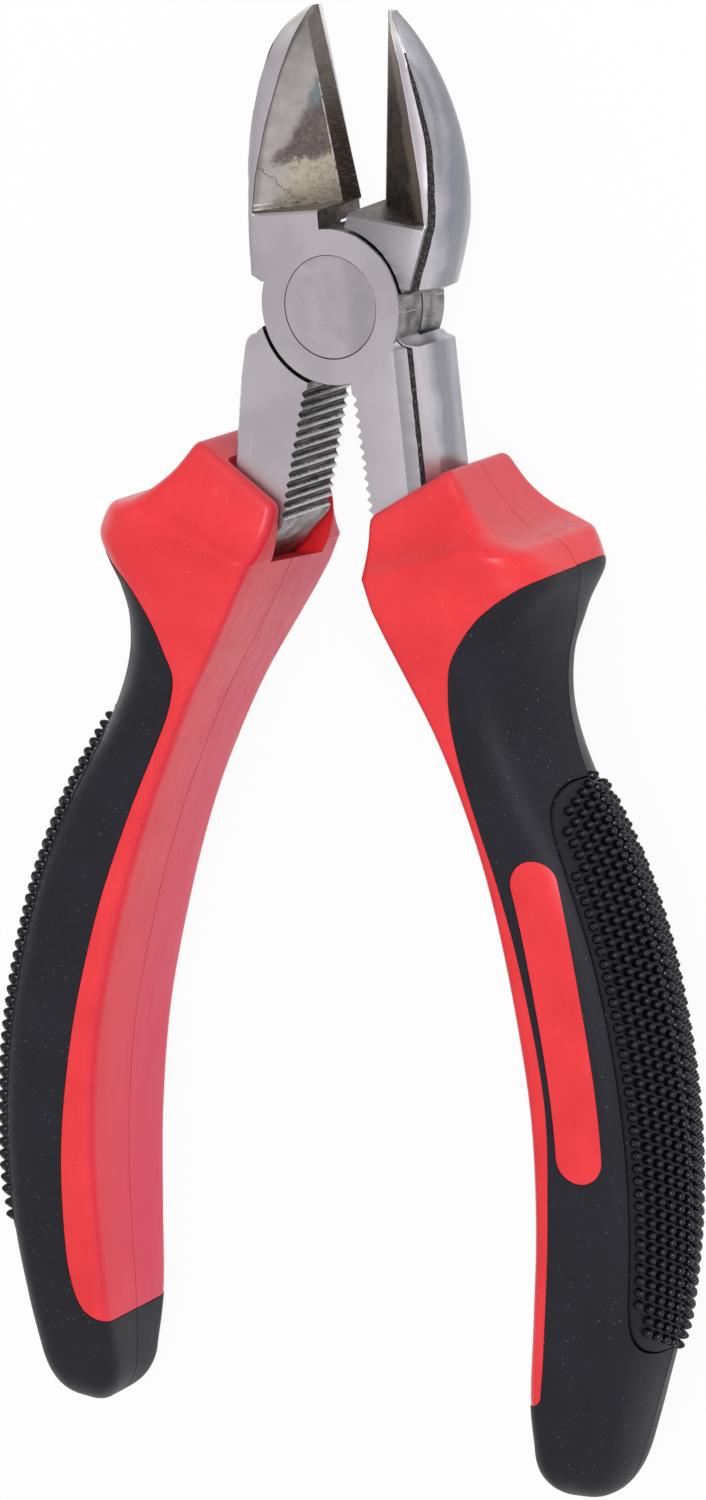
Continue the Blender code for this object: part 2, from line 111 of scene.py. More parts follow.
# Borders of the black skin: share of the grip's length, then share of its width
OVAL_FACE_EDGE = ((0.176, 0.437), (0.203, 0.348), (0.240, 0.240), (0.285, 0.166), (0.337, 0.136),
                  (0.385, 0.143), (0.480, 0.168), (0.600, 0.180), (0.700, 0.147), (0.810, 0.140),
                  (0.875, 0.146), (0.895, 0.116), (0.901, -0.10))
PLAIN_FACE_EDGE = ((0.205, 0.362), (0.2235, 0.237), (0.243, 0.174), (0.270, 0.142), (0.312, 0.148),
                   (0.375, 0.156), (0.437, 0.168), (0.494, 0.180), (0.560, 0.192), (0.635, 0.213),
                   (0.688, 0.239), (0.761, 0.274), (0.835, 0.298), (0.866, 0.286), (0.884, 0.245),
                   (0.894, 0.158), (0.9015, -0.10))
EAR_EDGES = {
    "right": (((0.0985, 1.10), (0.1045, 0.97), (0.1115, 0.875), (0.1255, 0.745), (0.147, 0.592)),
              ((0.097, 1.10), (0.104, 0.98), (0.118, 0.92), (0.140, 0.80), (0.167, 0.605))),
    "left": (((0.121, 1.10), (0.125, 0.97), (0.132, 0.86), (0.143, 0.74), (0.157, 0.572)),
             ((0.121, 1.10), (0.125, 0.95), (0.135, 0.82), (0.150, 0.685), (0.178, 0.516)))}
OVAL_SPINE = ((0.390, 0.469), (0.490, 0.428), (0.650, 0.42))
OVAL_WIDTH = 6.0
OVAL_STEPS = 20
EDGE_STEPS = 8
RAGGED = 0.09
RAGGED_ROWS = 8
RAGGED_GRAIN = 0.55
PAST_END = 1.1
FACE_OVERLAP = 0.002

# Finer sizes of the grips
SKIN_GAP = 0.06
SKIN_PROUD = 0.08
CORE_GAP = 0.05
MOUTH_GAP = 0.6
MOUTH_END = 0.085
COARSE_STEPS = 4
BODY_STEPS = 8
RIM_ROUND = 1.0
RIM_STEPS = 3
RIM_TURNS = (90, 72, 54, 36, 18)
END_LENGTH = 6.6
END_POWER = 2.5
END_STEPS = 14
END_REACH = 0.995
END_NARROWING = 0.15
END_LEAN = 0.26
END_LEAN_BACK = 0.4
OUT_STEPS = 12
IN_STEPS = 7
LEAST_IN_ROUND = 0.3
LEAST_OUT_ROUND = 0.6
LEAST_CROWN = 1e-4
CROWN_ROOM = 0.05
CROWN_SHARES = (0.85, 0.7, 0.55, 0.4, 0.25)
INNER_SHARES = (0.6,)
FACE_SHARES = (0.25, 0.5, 0.75)
SEAM_HALF_WIDTH = 0.1
SEAM_HEIGHT = 0.05
SEAM_SHARE = 0.05
SEAM_POINTS = 5
NOTCH_TOP = -17.0
NOTCH_SILLS = (-31.5, -32.7)
NOTCH_REACH = (0.3, 2.2)
NOTCH_FLOOR = 6.6
NOTCH_BACK = 7.6
NOTCH_BACK_SILL = -30.0
NOTCH_FALL = 0.9

# Pads and studs
PAD_TOP = 0.302
PAD_BOTTOM = 0.850
PAD_EDGE_DROP = 1.3
PAD_END_WIDTH = 0.2
PAD_END_POWERS = (10, 18)
PAD_STEPS = 60
PAD_GAP = 0.22
PAD_PROUD = 0.2
STUD_PITCH = 1.55
STUD_COLUMN = 1.5
STUD_MARGIN = 0.88
STUD_PROFILE = ((0.62, -0.3), (0.61, 0.05), (0.56, 0.36), (0.46, 0.63), (0.32, 0.84), (0.17, 0.97),
                (0.04, 1.01))
STUD_SIDES = 12
STUD_ZONE = 1
STUD_ROOM = 0.7 / GRIP_LENGTH
STUD_INSIDE = 0.45
STUD_PROBE = 0.004
HALVINGS = 30
TINY = 1e-6

# Shanks and tangs; a shoulder gives the distance below it and past the outer edge, and the corner's size
STEPPED_SHOULDER = ((0.0, -0.05, 1.0), (0.2, 0.0, 1.0))
ROUND_SHOULDER = ((0.0, -0.9, 0.9), (0.35, -0.2, 1.0), (0.9, 0.2, 1.0), (1.8, 0.4, 1.0))
ROUND_SWELL = 0.4
ROUND_TAPER = 0.085
FLANK_HALF = 0.3
BACK_EDGE = ((0.5, 1.0), (0.05, 0.9), (0.0, FLANK_HALF))
ROUND_EDGE = ((0.0, 0.8), (0.06, 0.4), (0.4, 0.0))
SHANK_CORNER = 1.0
TANG_CORNER = 0.4
TOOTH_FLOOR = (0.4, 0.6)
TOOTH_UNEVEN = 0.1
TOOTH_TIP_UNEVEN = 0.3
TOOTH_GRAIN = (2.9, 1.3)
SHANK_BENDS = ((-27.3, 2.6), (-30.0, 4.4), (-33.5, 6.4))
SHANK_BEND = 0.6
SHANK_BEND_BELOW = -30
TANG_STATIONS = (0.16, 0.24, 0.33, 0.43, 0.54, 0.66, 0.78)
STRIP_IN = 0.72
STRIP_DOWN = 1.15
STRIP_WAVE = 0.22
STRIP_WAVE_GRAIN = (1.7, 1.9)
STRIP_RAGGED = 0.09
STRIP_RAGGED_GRAIN = (8.1, 0.7)
STRIP_START = 6.5
STRIP_GROWTH = 13.0
STRIP_WIDTHS = (0.4, 0.9)
STRIP_SLOPE = (0.74, 1.75)
BAND_FOOT = (1.1, 0.6)
BAND_TOP = 2.65

# Joint and rivet
BOSS_CHAMFER = 0.12
LEVEL_FACE = 0.9
BOSS_SIDES = 160
BORE_SIDES = 96
RIVET_SIDES = 128
RIVET_GAP = 0.07
RIVET_SHIFT = (-0.015, 0.03)
RIVET_CHAMFER = 0.06
RIVET_FRONT = HALF - 0.015
RIVET_BACK = -HALF + 0.02
RIVET_TAIL_CHAMFER = (0.3, 0.15)

# Material zones of the steel levers
GROUND, FLANK, FORGED, BEVEL, EDGE, FLOOR, SIDE, TEETH, BAND, LIP, HEEL = range(11)

# Lines along the jaws: distance up the jaw, then distance out or height
BEVEL_LINE_REAR = ((11.7, 9.75), (16.0, 8.75), (20.0, 7.35), (25.0, 5.55), (29.7, 3.65),
                   (33.4, 1.55), (35.2, 0.25))
BEVEL_LINE_FRONT = ((11.7, 9.2), (15.8, 8.45), (21.5, 6.6), (27.6, 4.1), (31.8, 2.2),
                    (34.4, 0.75), (35.2, 0.25))
BEVEL_HEIGHT_REAR = ((11.7, 3.7), (16.0, 3.75), (22.0, 3.65), (28.0, 3.45), (31.0, 3.2), (33.0, 2.7),
                     (34.4, 1.9), (35.2, 1.0))
BEVEL_HEIGHT_FRONT = ((11.7, 5.1), (16.0, 5.0), (22.0, 4.7), (28.0, 4.2), (31.0, 3.6), (33.0, 2.8),
                      (34.4, 1.9), (35.2, 1.0))
STRIP_LINE_REAR = ((3.4, 9.9), (8.0, 10.1), (11.7, 10.1), (14.0, 9.95), (17.5, 9.4), (21.5, 8.45),
                   (25.0, 6.9), (30.9, 4.2), (33.6, 2.3), (35.2, 0.3))
STRIP_LINE_FRONT = ((3.4, 10.4), (8.0, 10.25), (11.9, 9.98), (17.6, 9.75), (22.2, 8.9), (26.8, 7.3),
                    (31.2, 5.05), (33.4, 3.3), (34.5, 1.8), (35.2, 0.3))
# A jaw's lines, how its heel falls away outside the boss, its strip's drop, its lip's width, its heel's look
Jaw = namedtuple("Jaw", "bevel height strip fall power drop lip heel")
FRONT_JAW = Jaw(BEVEL_LINE_FRONT, BEVEL_HEIGHT_FRONT, STRIP_LINE_FRONT, 0.04, 1.0, 1.1, 0.13, GROUND)
REAR_JAW = Jaw(BEVEL_LINE_REAR, BEVEL_HEIGHT_REAR, STRIP_LINE_REAR, 0.27, 1.15, 0.2, 0.05, HEEL)
LINE_SOFTENING = 0.9
STRIP_LEAST = 0.25
STRIP_WIDTH = 0.3
STRIP_FALL = 0.25
STRIP_GAIN = 2.2
STRIP_FADES = (0.25, 0.15)
STRIP_STEPS = 4
LIP_SINK = 0.02
HEEL_JOIN = 4.0
HEEL_STEPS = 9
HEEL_CORNER = 1.2
HEEL_FOOT = ((1.0, 0.8), (0.35, 0.25))
HEEL_LIP = 0.3
LINE_DROP = 0.3
EDGE_SHARES = (0.63, 0.22)
EDGE_MOST = 0.75
HOLLOW = 0.12
FOOT_SHARE = 0.022
FRONT_STEPS = 8
WALL_HEIGHT = 1.05
WALL_LEAN = 0.5
WALL_TOP = 19.0
WALL_UNEVEN = 0.1
WALL_GRAIN = (3.3, 0.45)
WALL_RUN_OUT = 3.0
WALL_LEAST = 0.2
WALL_FADE = 0.12
WALL_FOOT = 0.4
FLANK_ROOM = (0.6, 0.06)
BELLY_SHARE = 0.36
BELLY_ROUND = 0.75
BACK_ROUND = 1.3
BACK_RISE = 0.12
BACK_SHARES = (0.35, 0.7, 0.9, 1.0)
FLANK_STEPS = 8
BLADE_RINGS = 70
LIP_LINES = (0.2, 0.55, 0.75)
LIP_MARGIN = 0.01
LIP_REACH = 16

NOISE_LEVEL = 0.37
SAME_PLACE = 0.0001
SHARP = 32.0
LEVER_SHARP = 24.0


def interpolate(line, place):
    """Read a list of (place, value) pairs, straight between them."""
    for (a, low), (b, high) in zip(line, line[1:]):
        if place <= b:
            return low + (high - low) * max(place - a, 0.0) / (b - a)
    return line[-1][1]


def smoothed(line, place):
    """The same list read as a soft curve."""
    steps = (-LINE_SOFTENING, 0.0, LINE_SOFTENING)
    before, here, after = (interpolate(line, place + step) for step in steps)
    return (before + 2 * here + after) / 4


def blend(values, place):
    """Smooth curve through evenly numbered values, read at a fractional place."""
    last = len(values) - 1
    i = min(int(place), last - 1)
    f = place - i
    before, start = values[max(i - 1, 0)], values[i]
    end, after = values[i + 1], values[min(i + 2, last)]
    return start + 0.5 * f * (end - before + f * (2 * before - 5 * start + 4 * end - after
                                                  + f * (3 * (start - end) + after - before)))


def rough(x, y, size):
    """Repeatable unevenness between -1 and 1."""
    return noise.noise(Vector((x / size, y / size, NOISE_LEVEL)))


def arc(x, y, radius, turns):
    return [(x + radius * math.cos(a), y + radius * math.sin(a)) for a in turns]


# Mesh helpers
def link_object(name, data):
    made = bpy.data.objects.new(name, data)
    bpy.context.scene.collection.objects.link(made)
    return made


def mesh_object(name, mesh):
    """Object of an edit mesh, which is used up."""
    data = bpy.data.meshes.new(name)
    mesh.to_mesh(data)
    mesh.free()
    return link_object(name, data)


def skin_rings(mesh, rings, zone):
    """Add closed rings of equal length as one capped body; zone numbers the faces' materials."""
    rows = [[mesh.verts.new(Vector(p) * MM) for p in ring] for ring in rings]
    count = len(rows[0])
    for r, (low, high) in enumerate(zip(rows, rows[1:])):
        for i in range(count):
            j = (i + 1) % count
            face = mesh.faces.new((low[i], low[j], high[j], high[i]))
            face.material_index = zone(r, i)
    return [mesh.faces.new(list(reversed(rows[0]))), mesh.faces.new(rows[-1])]


def solid(name, rings, zone=lambda r, i: 0):
    mesh = bmesh.new()
    ends = skin_rings(mesh, rings, zone)
    bmesh.ops.triangulate(mesh, faces=ends)
    bmesh.ops.recalc_face_normals(mesh, faces=mesh.faces)
    return mesh_object(name, mesh)


def prism(name, outline, low, high):
    return solid(name, [[(x, y, z) for x, y in outline] for z in (low, high)])


def turned(name, profile, sides, index=0, centre=(0.0, 0.0)):
    """Body of rings about Z from (radius, height) pairs."""
    angles = [2 * math.pi * i / sides for i in range(sides)]
    rings = [[(*point, z) for point in arc(*centre, r, angles)] for r, z in profile]
    return solid(name, rings, lambda r, i: index)


def cylinder(name, radius, low, high, sides):
    return turned(name, ((radius, low), (radius, high)), sides, SIDE)


def combine(target, operation, *others):
    """Apply Boolean steps to the target and take the other bodies away."""
    for other in others:
        step = target.modifiers.new("step", "BOOLEAN")
        step.operation = operation
        step.solver = "MANIFOLD"
        step.object = other
        bpy.context.view_layer.update()
        shape = target.evaluated_get(bpy.context.evaluated_depsgraph_get())
        data = bpy.data.meshes.new_from_object(shape)
        target.modifiers.remove(step)
        old = target.data
        target.data = data
        bpy.data.meshes.remove(old)
        bpy.data.objects.remove(other)
    return target


def turned_over(source):
    """Turn a body half round about the tool's long axis."""
    source.data.transform(Matrix.Rotation(math.pi, 4, "Y"))
    return source


def mirrored(source):
    """Mirror a body across the tool's centre plane."""
    source.data.transform(Matrix.Diagonal((-1.0, 1.0, 1.0, 1.0)))
    source.data.flip_normals()
    return source


# Grips
def grip_y(along):
    return -COLLAR_FROM_PIVOT - along * GRIP_LENGTH


def section_at(place):
    return Section(*(blend(column, place) for column in zip(*GRIP_SECTIONS)))


def grip_stations(steps):
    last = len(GRIP_SECTIONS) - 1
    return [section_at(i / steps) for i in range(last * steps + 1)]


COARSE = grip_stations(COARSE_STEPS)


def edge_x(along, side):
    """Distance of the grip's inner or outer edge from the centre line at a share of its length."""
    pairs = [(s.in_along, s.in_x) if side == "inner" else (s.out_along, s.out_x) for s in COARSE]
    return interpolate(pairs, along)


def grip_point(along, across):
    inner = edge_x(along, "inner")
    return (inner + (edge_x(along, "outer") - inner) * across, grip_y(along))


def seam_points(spread, rise, shares):
    """Points (height, rise) down a side with a fine ridge in its middle."""
    fine = min(SEAM_HALF_WIDTH, SEAM_SHARE * spread)
    upper = [(share * spread, 0.0) for share in shares] + [(3 * fine, 0.0), (fine, 0.0)]
    return [*upper, (0.0, rise), *[(-z, 0.0) for z, _ in reversed(upper)]]


def grip_ring(section, inset, seam=0.0):
    """Rounded section across the grip, drawn in by the inset, with a fine seam at both sides.

    The outside is crowned, and its two halves meet at the seam in a ridge of an angle in degrees.
    """
    start = Vector((section.in_x, grip_y(section.in_along)))
    end = Vector((section.out_x, grip_y(section.out_along)))
    width = (end - start).length
    way = (end - start) / width
    half = section.half - inset
    in_round = max(section.in_round - inset, LEAST_IN_ROUND)
    out_round = max(section.out_round - inset, LEAST_OUT_ROUND)
    crown = 1 / max(section.crown, LEAST_CROWN)
    sink = crown * math.sin(math.radians(section.ridge))
    middle = width - math.sqrt(crown ** 2 - sink ** 2)
    crown = max(crown - inset, half + sink + CROWN_ROOM)
    lean = math.asin((half - out_round + sink) / (crown - out_round))
    out_centre = middle + (crown - out_round) * math.cos(lean)
    in_centre = inset + in_round
    out_turns = [lean + (math.pi / 2 - lean) * i / OUT_STEPS for i in range(OUT_STEPS + 1)]
    in_turns = [math.pi / 2 * (1 + i / IN_STEPS) for i in range(IN_STEPS + 1)]
    upper = arc(out_centre, half - out_round, out_round, out_turns)
    upper += [(out_centre + (in_centre - out_centre) * share, half) for share in FACE_SHARES]
    upper += arc(in_centre, half - in_round, in_round, in_turns)
    inner = [(inset - rise, z) for z, rise in seam_points(half - in_round, seam, INNER_SHARES)]
    outer = [(middle + math.sqrt(crown ** 2 - (abs(z) + sink) ** 2) + rise, -z)
             for z, rise in seam_points(crown * math.sin(lean) - sink, seam, CROWN_SHARES)]
    flat = upper + inner + [(u, -v) for u, v in reversed(upper)] + outer
    return [(*(start + way * u), v) for u, v in flat]


def grip_inside(inset):
    """The handle's shape drawn in, open past the rim."""
    rings = [grip_ring(row, inset) for row in COARSE]
    rings[0] = [(x, y + RIM_WALL, z) for x, y, z in rings[0]]
    return solid("inside", rings)


def grip_body(name, inset, seam=0.0):
    """The whole handle outside, with a rounded rim and a rounded end."""
    rim = []
    for turn in RIM_TURNS:
        angle = math.radians(turn)
        place = RIM_STEPS / BODY_STEPS * (1 - math.sin(angle))
        rim.append(grip_ring(section_at(place), inset + RIM_ROUND * (1 - math.cos(angle))))
    rows = grip_stations(BODY_STEPS)
    rings = [grip_ring(row, inset, seam) for row in rows]
    end = rows[-1]
    middle = Vector(((end.in_x + end.out_x) / 2, grip_y((end.in_along + end.out_along) / 2), 0.0))
    tail = []
    for i in range(1, END_STEPS + 1):
        reach = END_REACH * math.sin(math.pi / 2 * i / END_STEPS)
        size = (1 - reach ** END_POWER) ** (1 / END_POWER) * (1 - END_NARROWING * reach)
        shift = Vector((-END_LEAN * reach * (1 - END_LEAN_BACK * reach), -reach, 0.0)) * END_LENGTH
        tail.append([middle + (Vector(p) - middle) * size + shift for p in rings[-1]])
    return solid(name, [*rim, *rings[RIM_STEPS:], *tail])


def skin_outline(edge, gap):
    """Plan of the black side of the grip, outside the given edge; gap widens it."""
    columns = list(zip(*edge))
    places = [i / EDGE_STEPS for i in range((len(edge) - 1) * EDGE_STEPS + 1)]
    line = [Vector(grip_point(blend(columns[0], p), blend(columns[1], p))) for p in places]
    moved = []
    for i, point in enumerate(line):
        way = line[min(i + 1, len(line) - 1)] - line[max(i - 1, 0)]
        side = Vector((way.y, -way.x)).normalized()
        faded = max(0.0, 1 - i / (RAGGED_ROWS * EDGE_STEPS))
        uneven = RAGGED * rough(point.x, point.y, RAGGED_GRAIN) * faded
        moved.append(tuple(point + side * (gap + uneven)))
    end = grip_y(PAST_END)
    return moved + [(moved[-1][0], end), (FAR_OUT, end), (FAR_OUT, moved[0][1])]


def oval_outline(grow):
    """Long rounded window that follows the handle."""
    along, across = zip(*OVAL_SPINE)
    places = [2 * i / OVAL_STEPS for i in range(OVAL_STEPS + 1)]
    spine = [Vector(grip_point(blend(along, p), blend(across, p))) for p in places]
    radius = OVAL_WIDTH / 2 + grow
    outline = []
    for line in (spine, spine[::-1]):
        for before, point, after in zip(line, line[1:], line[2:]):
            way = (after - before).normalized()
            outline.append(tuple(point + radius * Vector((way.y, -way.x))))
        way = line[-1] - line[-2]
        start = math.atan2(way.y, way.x) - math.pi / 2
        for i in range(OVAL_STEPS + 1):
            angle = start + math.pi * i / OVAL_STEPS
            outline.append(tuple(line[-1] + radius * Vector((math.cos(angle), math.sin(angle)))))
    return outline


def skin_cutter(side, gap):
    """Everything on the black side of both faces' edges, less the oval window."""
    oval_ear, plain_ear = EAR_EDGES[side]
    front = prism("skin_front", skin_outline(oval_ear + OVAL_FACE_EDGE, gap), -gap, FAR_UP)
    back = prism("skin_back", skin_outline(plain_ear + PLAIN_FACE_EDGE, gap), -FAR_UP, gap + FACE_OVERLAP)
    combine(front, "DIFFERENCE", prism("oval", oval_outline(SKIN_GAP - gap), HALF, 2 * FAR_UP))
    return combine(front, "UNION", back)


def pad_half(along):
    """Half height of the pad's outline, with rounded ends."""
    share = min(max((along - PAD_TOP) / (PAD_BOTTOM - PAD_TOP), 0.0), 1.0)
    half = interpolate([(s.out_along, s.half) for s in COARSE], along) - PAD_EDGE_DROP
    swell = (1 - abs(2 * share - 1) ** PAD_END_POWERS[share > 0.5]) ** 0.5
    return half * (PAD_END_WIDTH + (1 - PAD_END_WIDTH) * swell)


def pad_cutter(grow):
    """Block over the outside of the grip, rounded at both ends, seen along X."""
    sides = []
    for i in range(PAD_STEPS + 1):
        ease = math.cos(math.pi * i / PAD_STEPS)
        along = PAD_TOP + (PAD_BOTTOM - PAD_TOP) * (0.5 - 0.5 * ease)
        inner = edge_x(along, "outer") - PAD_REACH
        sides.append((inner, grip_y(along) + grow * ease, pad_half(along) + grow))
    outline = sides + [(x, y, -z) for x, y, z in reversed(sides)]
    return solid("pad_block", [outline, [(FAR_OUT, y, z) for _, y, z in outline]])


def outer_section(along):
    """Section whose outer end is at a share of the grip's length."""
    low, high = 0.0, len(GRIP_SECTIONS) - 1.0
    ends = [section.out_along for section in GRIP_SECTIONS]
    for _ in range(HALVINGS):
        middle = (low + high) / 2
        if blend(ends, middle) < along:
            low = middle
        else:
            high = middle
    return section_at(low)


def add_stud(mesh, point, normal, side):
    """Rounded stud standing on a point."""
    other = normal.cross(side)
    turns = [2 * math.pi * k / STUD_SIDES for k in range(STUD_SIDES)]
    rings = [[point + normal * height + radius * (side * math.cos(a) + other * math.sin(a)) for a in turns]
             for radius, height in STUD_PROFILE]
    for cap in skin_rings(mesh, rings, lambda r, i: STUD_ZONE):
        cap.material_index = STUD_ZONE


def outer_path(section):
    """Points round the outside of the pad's section, from the middle of its front face to its back."""
    ring = [Vector(p) for p in grip_ring(section, -PAD_PROUD)]
    side = OUT_STEPS + 1 + 2 * len(CROWN_SHARES) + SEAM_POINTS
    return ring[OUT_STEPS::-1] + ring[:-side - 1:-1]


def pad_studs(name, face):
    """Staggered columns of studs that follow the pad's edge; face is the seen side, 1 or -1."""
    mesh = bmesh.new()
    flip = Vector((1.0, 1.0, face))
    along = PAD_TOP
    row = 0
    while along < PAD_BOTTOM:
        here, ahead = outer_section(along), outer_section(along + STUD_PROBE)
        path, next_path = outer_path(here), outer_path(ahead)
        edge = here.half - PAD_EDGE_DROP
        limit = min(pad_half(along - STUD_ROOM), pad_half(along + STUD_ROOM)) - STUD_INSIDE
        need = None
        for i, (a, b) in enumerate(zip(path, path[1:])):
            span = (b - a).length
            done = 0.0
            if need is None and b.z <= edge:
                done = (a.z - edge) / max(a.z - b.z, TINY) * span
                need = STUD_MARGIN + row % 2 * STUD_COLUMN
            while need is not None and done + need <= span:
                done += need
                need = 2 * STUD_COLUMN
                point = a + (b - a) * (done / span)
                if abs(point.z) < limit:
                    side = (b - a).normalized()
                    normal = side.cross(next_path[i] - a).normalized()
                    normal *= math.copysign(1.0, normal.x)
                    add_stud(mesh, point * flip, normal * flip, side * flip)
            if need is not None:
                need -= span - done
        slope = Vector((ahead.out_x - here.out_x, STUD_PROBE * GRIP_LENGTH)).length / STUD_PROBE
        along += 0.5 * STUD_PITCH / slope
        row += 1
    bmesh.ops.recalc_face_normals(mesh, faces=mesh.faces)
    return mesh_object(name, mesh)


def tang_rows(gap, plain):
    """Shank and tang as rows of (y, inner x, outer x, half thickness, corner size, teeth here)."""
    outer = SHANK_OUTER + gap
    half = HALF + gap
    if gap > 0:
        rows = [(-SHANK_SHOULDER, SHANK_INNER - gap, outer, half, SHANK_CORNER, False)]
    else:
        neck = -SHANK_SHOULDER + NECK_CHAMFER
        rows = []
        for back in (2 * NECK_CHAMFER, 0.0):
            rows.append((neck + back, SHANK_INNER, BOSS_RADIUS - back, HALF, TANG_CORNER, False))
        for below, past, corner in ROUND_SHOULDER if plain else STEPPED_SHOULDER:
            rows.append((-SHANK_SHOULDER - below, SHANK_INNER, outer + past, HALF, corner, False))
    for i in range(TOOTH_COUNT + 1):
        y = -TEETH_FROM_PIVOT - i * TOOTH_PITCH
        tip = SHANK_INNER + SHANK_TAPER * i * TOOTH_PITCH - gap
        edge = outer + (ROUND_SWELL - ROUND_TAPER * i if plain else 0.0)
        if gap > 0:
            rows.append((y, tip, edge, half, SHANK_CORNER, False))
            continue
        uneven = TOOTH_UNEVEN * rough(i, *TOOTH_GRAIN)
        rows.append((y, tip + TOOTH_TIP_UNEVEN * uneven, edge, half, SHANK_CORNER, i < TOOTH_COUNT))
        if i < TOOTH_COUNT:
            for share in TOOTH_FLOOR:
                rows.append((y - (share + uneven) * TOOTH_PITCH, tip + TOOTH_DEPTH + uneven, edge, half,
                             SHANK_CORNER, True))
    for y, inner in SHANK_BENDS:
        edge = outer + SHANK_BEND * (y < SHANK_BEND_BELOW)
        rows.append((y, inner - gap, edge, half, SHANK_CORNER, False))
    for along in TANG_STATIONS:
        middle = grip_point(along, 0.5)[0]
        reach = TANG_WIDTH / 2 + gap
        y = grip_y(along) - (gap if along == TANG_STATIONS[-1] else 0.0)
        rows.append((y, middle - reach, middle + reach, TANG_HALF_THICKNESS + gap, TANG_CORNER, False))
    return rows


def strip_points(y, outer, half, cut):
    """Outside of the right shank: a narrow ragged forged strip below a sloped band."""
    ragged = STRIP_RAGGED * rough(y, *STRIP_RAGGED_GRAIN) * cut
    grown = min(max((-y - STRIP_START) / STRIP_GROWTH, 0.0), 1.0)
    wide = STRIP_WIDTHS[0] + STRIP_WIDTHS[1] * grown + STRIP_WAVE * rough(y, *STRIP_WAVE_GRAIN)
    slope_in, slope_down = STRIP_SLOPE
    return [(outer - (STRIP_IN - slope_in * wide) * cut, half - (STRIP_DOWN + slope_down * wide) * cut),
            (outer - STRIP_IN * cut, half - STRIP_DOWN * cut + ragged),
            (outer - BAND_FOOT[0] * cut + ragged, half - BAND_FOOT[1] * cut),
            (outer - BAND_TOP * cut, half)]


def tang_body(name, gap, until=None, plain=False):
    """Bar with plain edges, or with a sloped band, a narrow forged strip and two facets on its outside."""
    rings = []
    toothed = []
    for y, inner, outer, half, cut, teeth in tang_rows(gap, plain):
        if until is not None and y < grip_y(until):
            break
        ring = [(inner, -half), *[(outer - a * cut, -b * half) for a, b in BACK_EDGE]]
        if plain:
            ring += [(outer, FLANK_HALF * half), *[(outer - a * cut, half - b * cut) for a, b in ROUND_EDGE]]
        else:
            ring += strip_points(y, outer, half, cut)
        rings.append([(x, y, z) for x, z in (*ring, (inner, half))])
        toothed.append(teeth)
    kinds = (GROUND, GROUND, FLANK, FLANK, GROUND, FORGED, BAND, GROUND, SIDE)
    if plain:
        kinds = (GROUND, GROUND, FLANK, FLANK, FLANK, FLANK, GROUND, GROUND, SIDE)
    return solid(name, rings, lambda r, i: TEETH if kinds[i] == SIDE and toothed[r] else kinds[i])


def notch(name, side):
    """Open recess beside the shank in the inner side of the collar, lower towards the hidden face."""
    seen = 1 if side == "right" else -1
    rings = []
    for face, sill, reach in zip((seen, -seen), NOTCH_SILLS, NOTCH_REACH):
        z = face * (HALF + reach)
        rings.append([(0.0, NOTCH_TOP, z), (0.0, sill, z), (NOTCH_FLOOR, sill - NOTCH_FALL, z),
                      (NOTCH_BACK, NOTCH_BACK_SILL, z), (NOTCH_BACK, NOTCH_TOP, z)])
    return solid(name, rings)


# Jaws
def taper(y):
    """Share of the way from the bevel's floor to the tip of the jaw."""
    return max(y - FLOOR_Y, 0.0) / (JAW_LENGTH - FLOOR_Y)


def jaw_width(y):
    wide = BOSS_RADIUS + JAW_OVERHANG
    if y <= FLOOR_Y:
        return wide - HEEL_DRAW_IN * ((FLOOR_Y - y) / (FLOOR_Y - JAW_SHOULDER)) ** 2
    return EDGE_GAP + (wide - EDGE_GAP) * (1 - min(taper(y), 1.0) ** JAW_CURVE) ** JAW_NOSE


def jaw_dome(jaw, x, y):
    """Height of the ground heel, level at the boss and falling away outside it."""
    away = max(math.hypot(x, y) - BOSS_RADIUS, 0.0)
    return HALF - jaw.fall * away ** jaw.power


def jaw_front(jaw, y, back, line, drop):
    """Points from the back inner corner over the edge and bevel, or over the heel if drop is a number."""
    fade = 1 - taper(y)
    edge = back + EDGE_LAND
    line_x, line_z = line
    if drop is None:
        share = min(EDGE_SHARES[0] + EDGE_SHARES[1] * fade, EDGE_MOST * (line_z - edge) / EDGE_BEVEL_RISE,
                    EDGE_MOST * (line_x - EDGE_GAP) / EDGE_BEVEL_WIDTH)
        points = [(EDGE_GAP + BACK_BEVEL_WIDTH * fade, back), (EDGE_GAP, edge),
                  (EDGE_GAP + EDGE_BEVEL_WIDTH * share, edge + EDGE_BEVEL_RISE * share)]
    else:
        points = [(RELIEF + BACK_BEVEL_WIDTH, back), (RELIEF, edge),
                  (RELIEF, jaw_dome(jaw, RELIEF, y) - drop)]
    foot_x, foot_z = points[-1]
    for share in (FOOT_SHARE, *[i / FRONT_STEPS for i in range(1, FRONT_STEPS)]):
        x = foot_x + (line_x - foot_x) * share
        if drop is None:
            sag = 4 * HOLLOW * share * (1 - share) * fade
            points.append((x, foot_z + (line_z - foot_z) * share - sag))
        else:
            points.append((x, jaw_dome(jaw, x, y) - drop))
    points.append((line_x, line_z - (0 if drop is None else drop * LINE_DROP)))
    return points


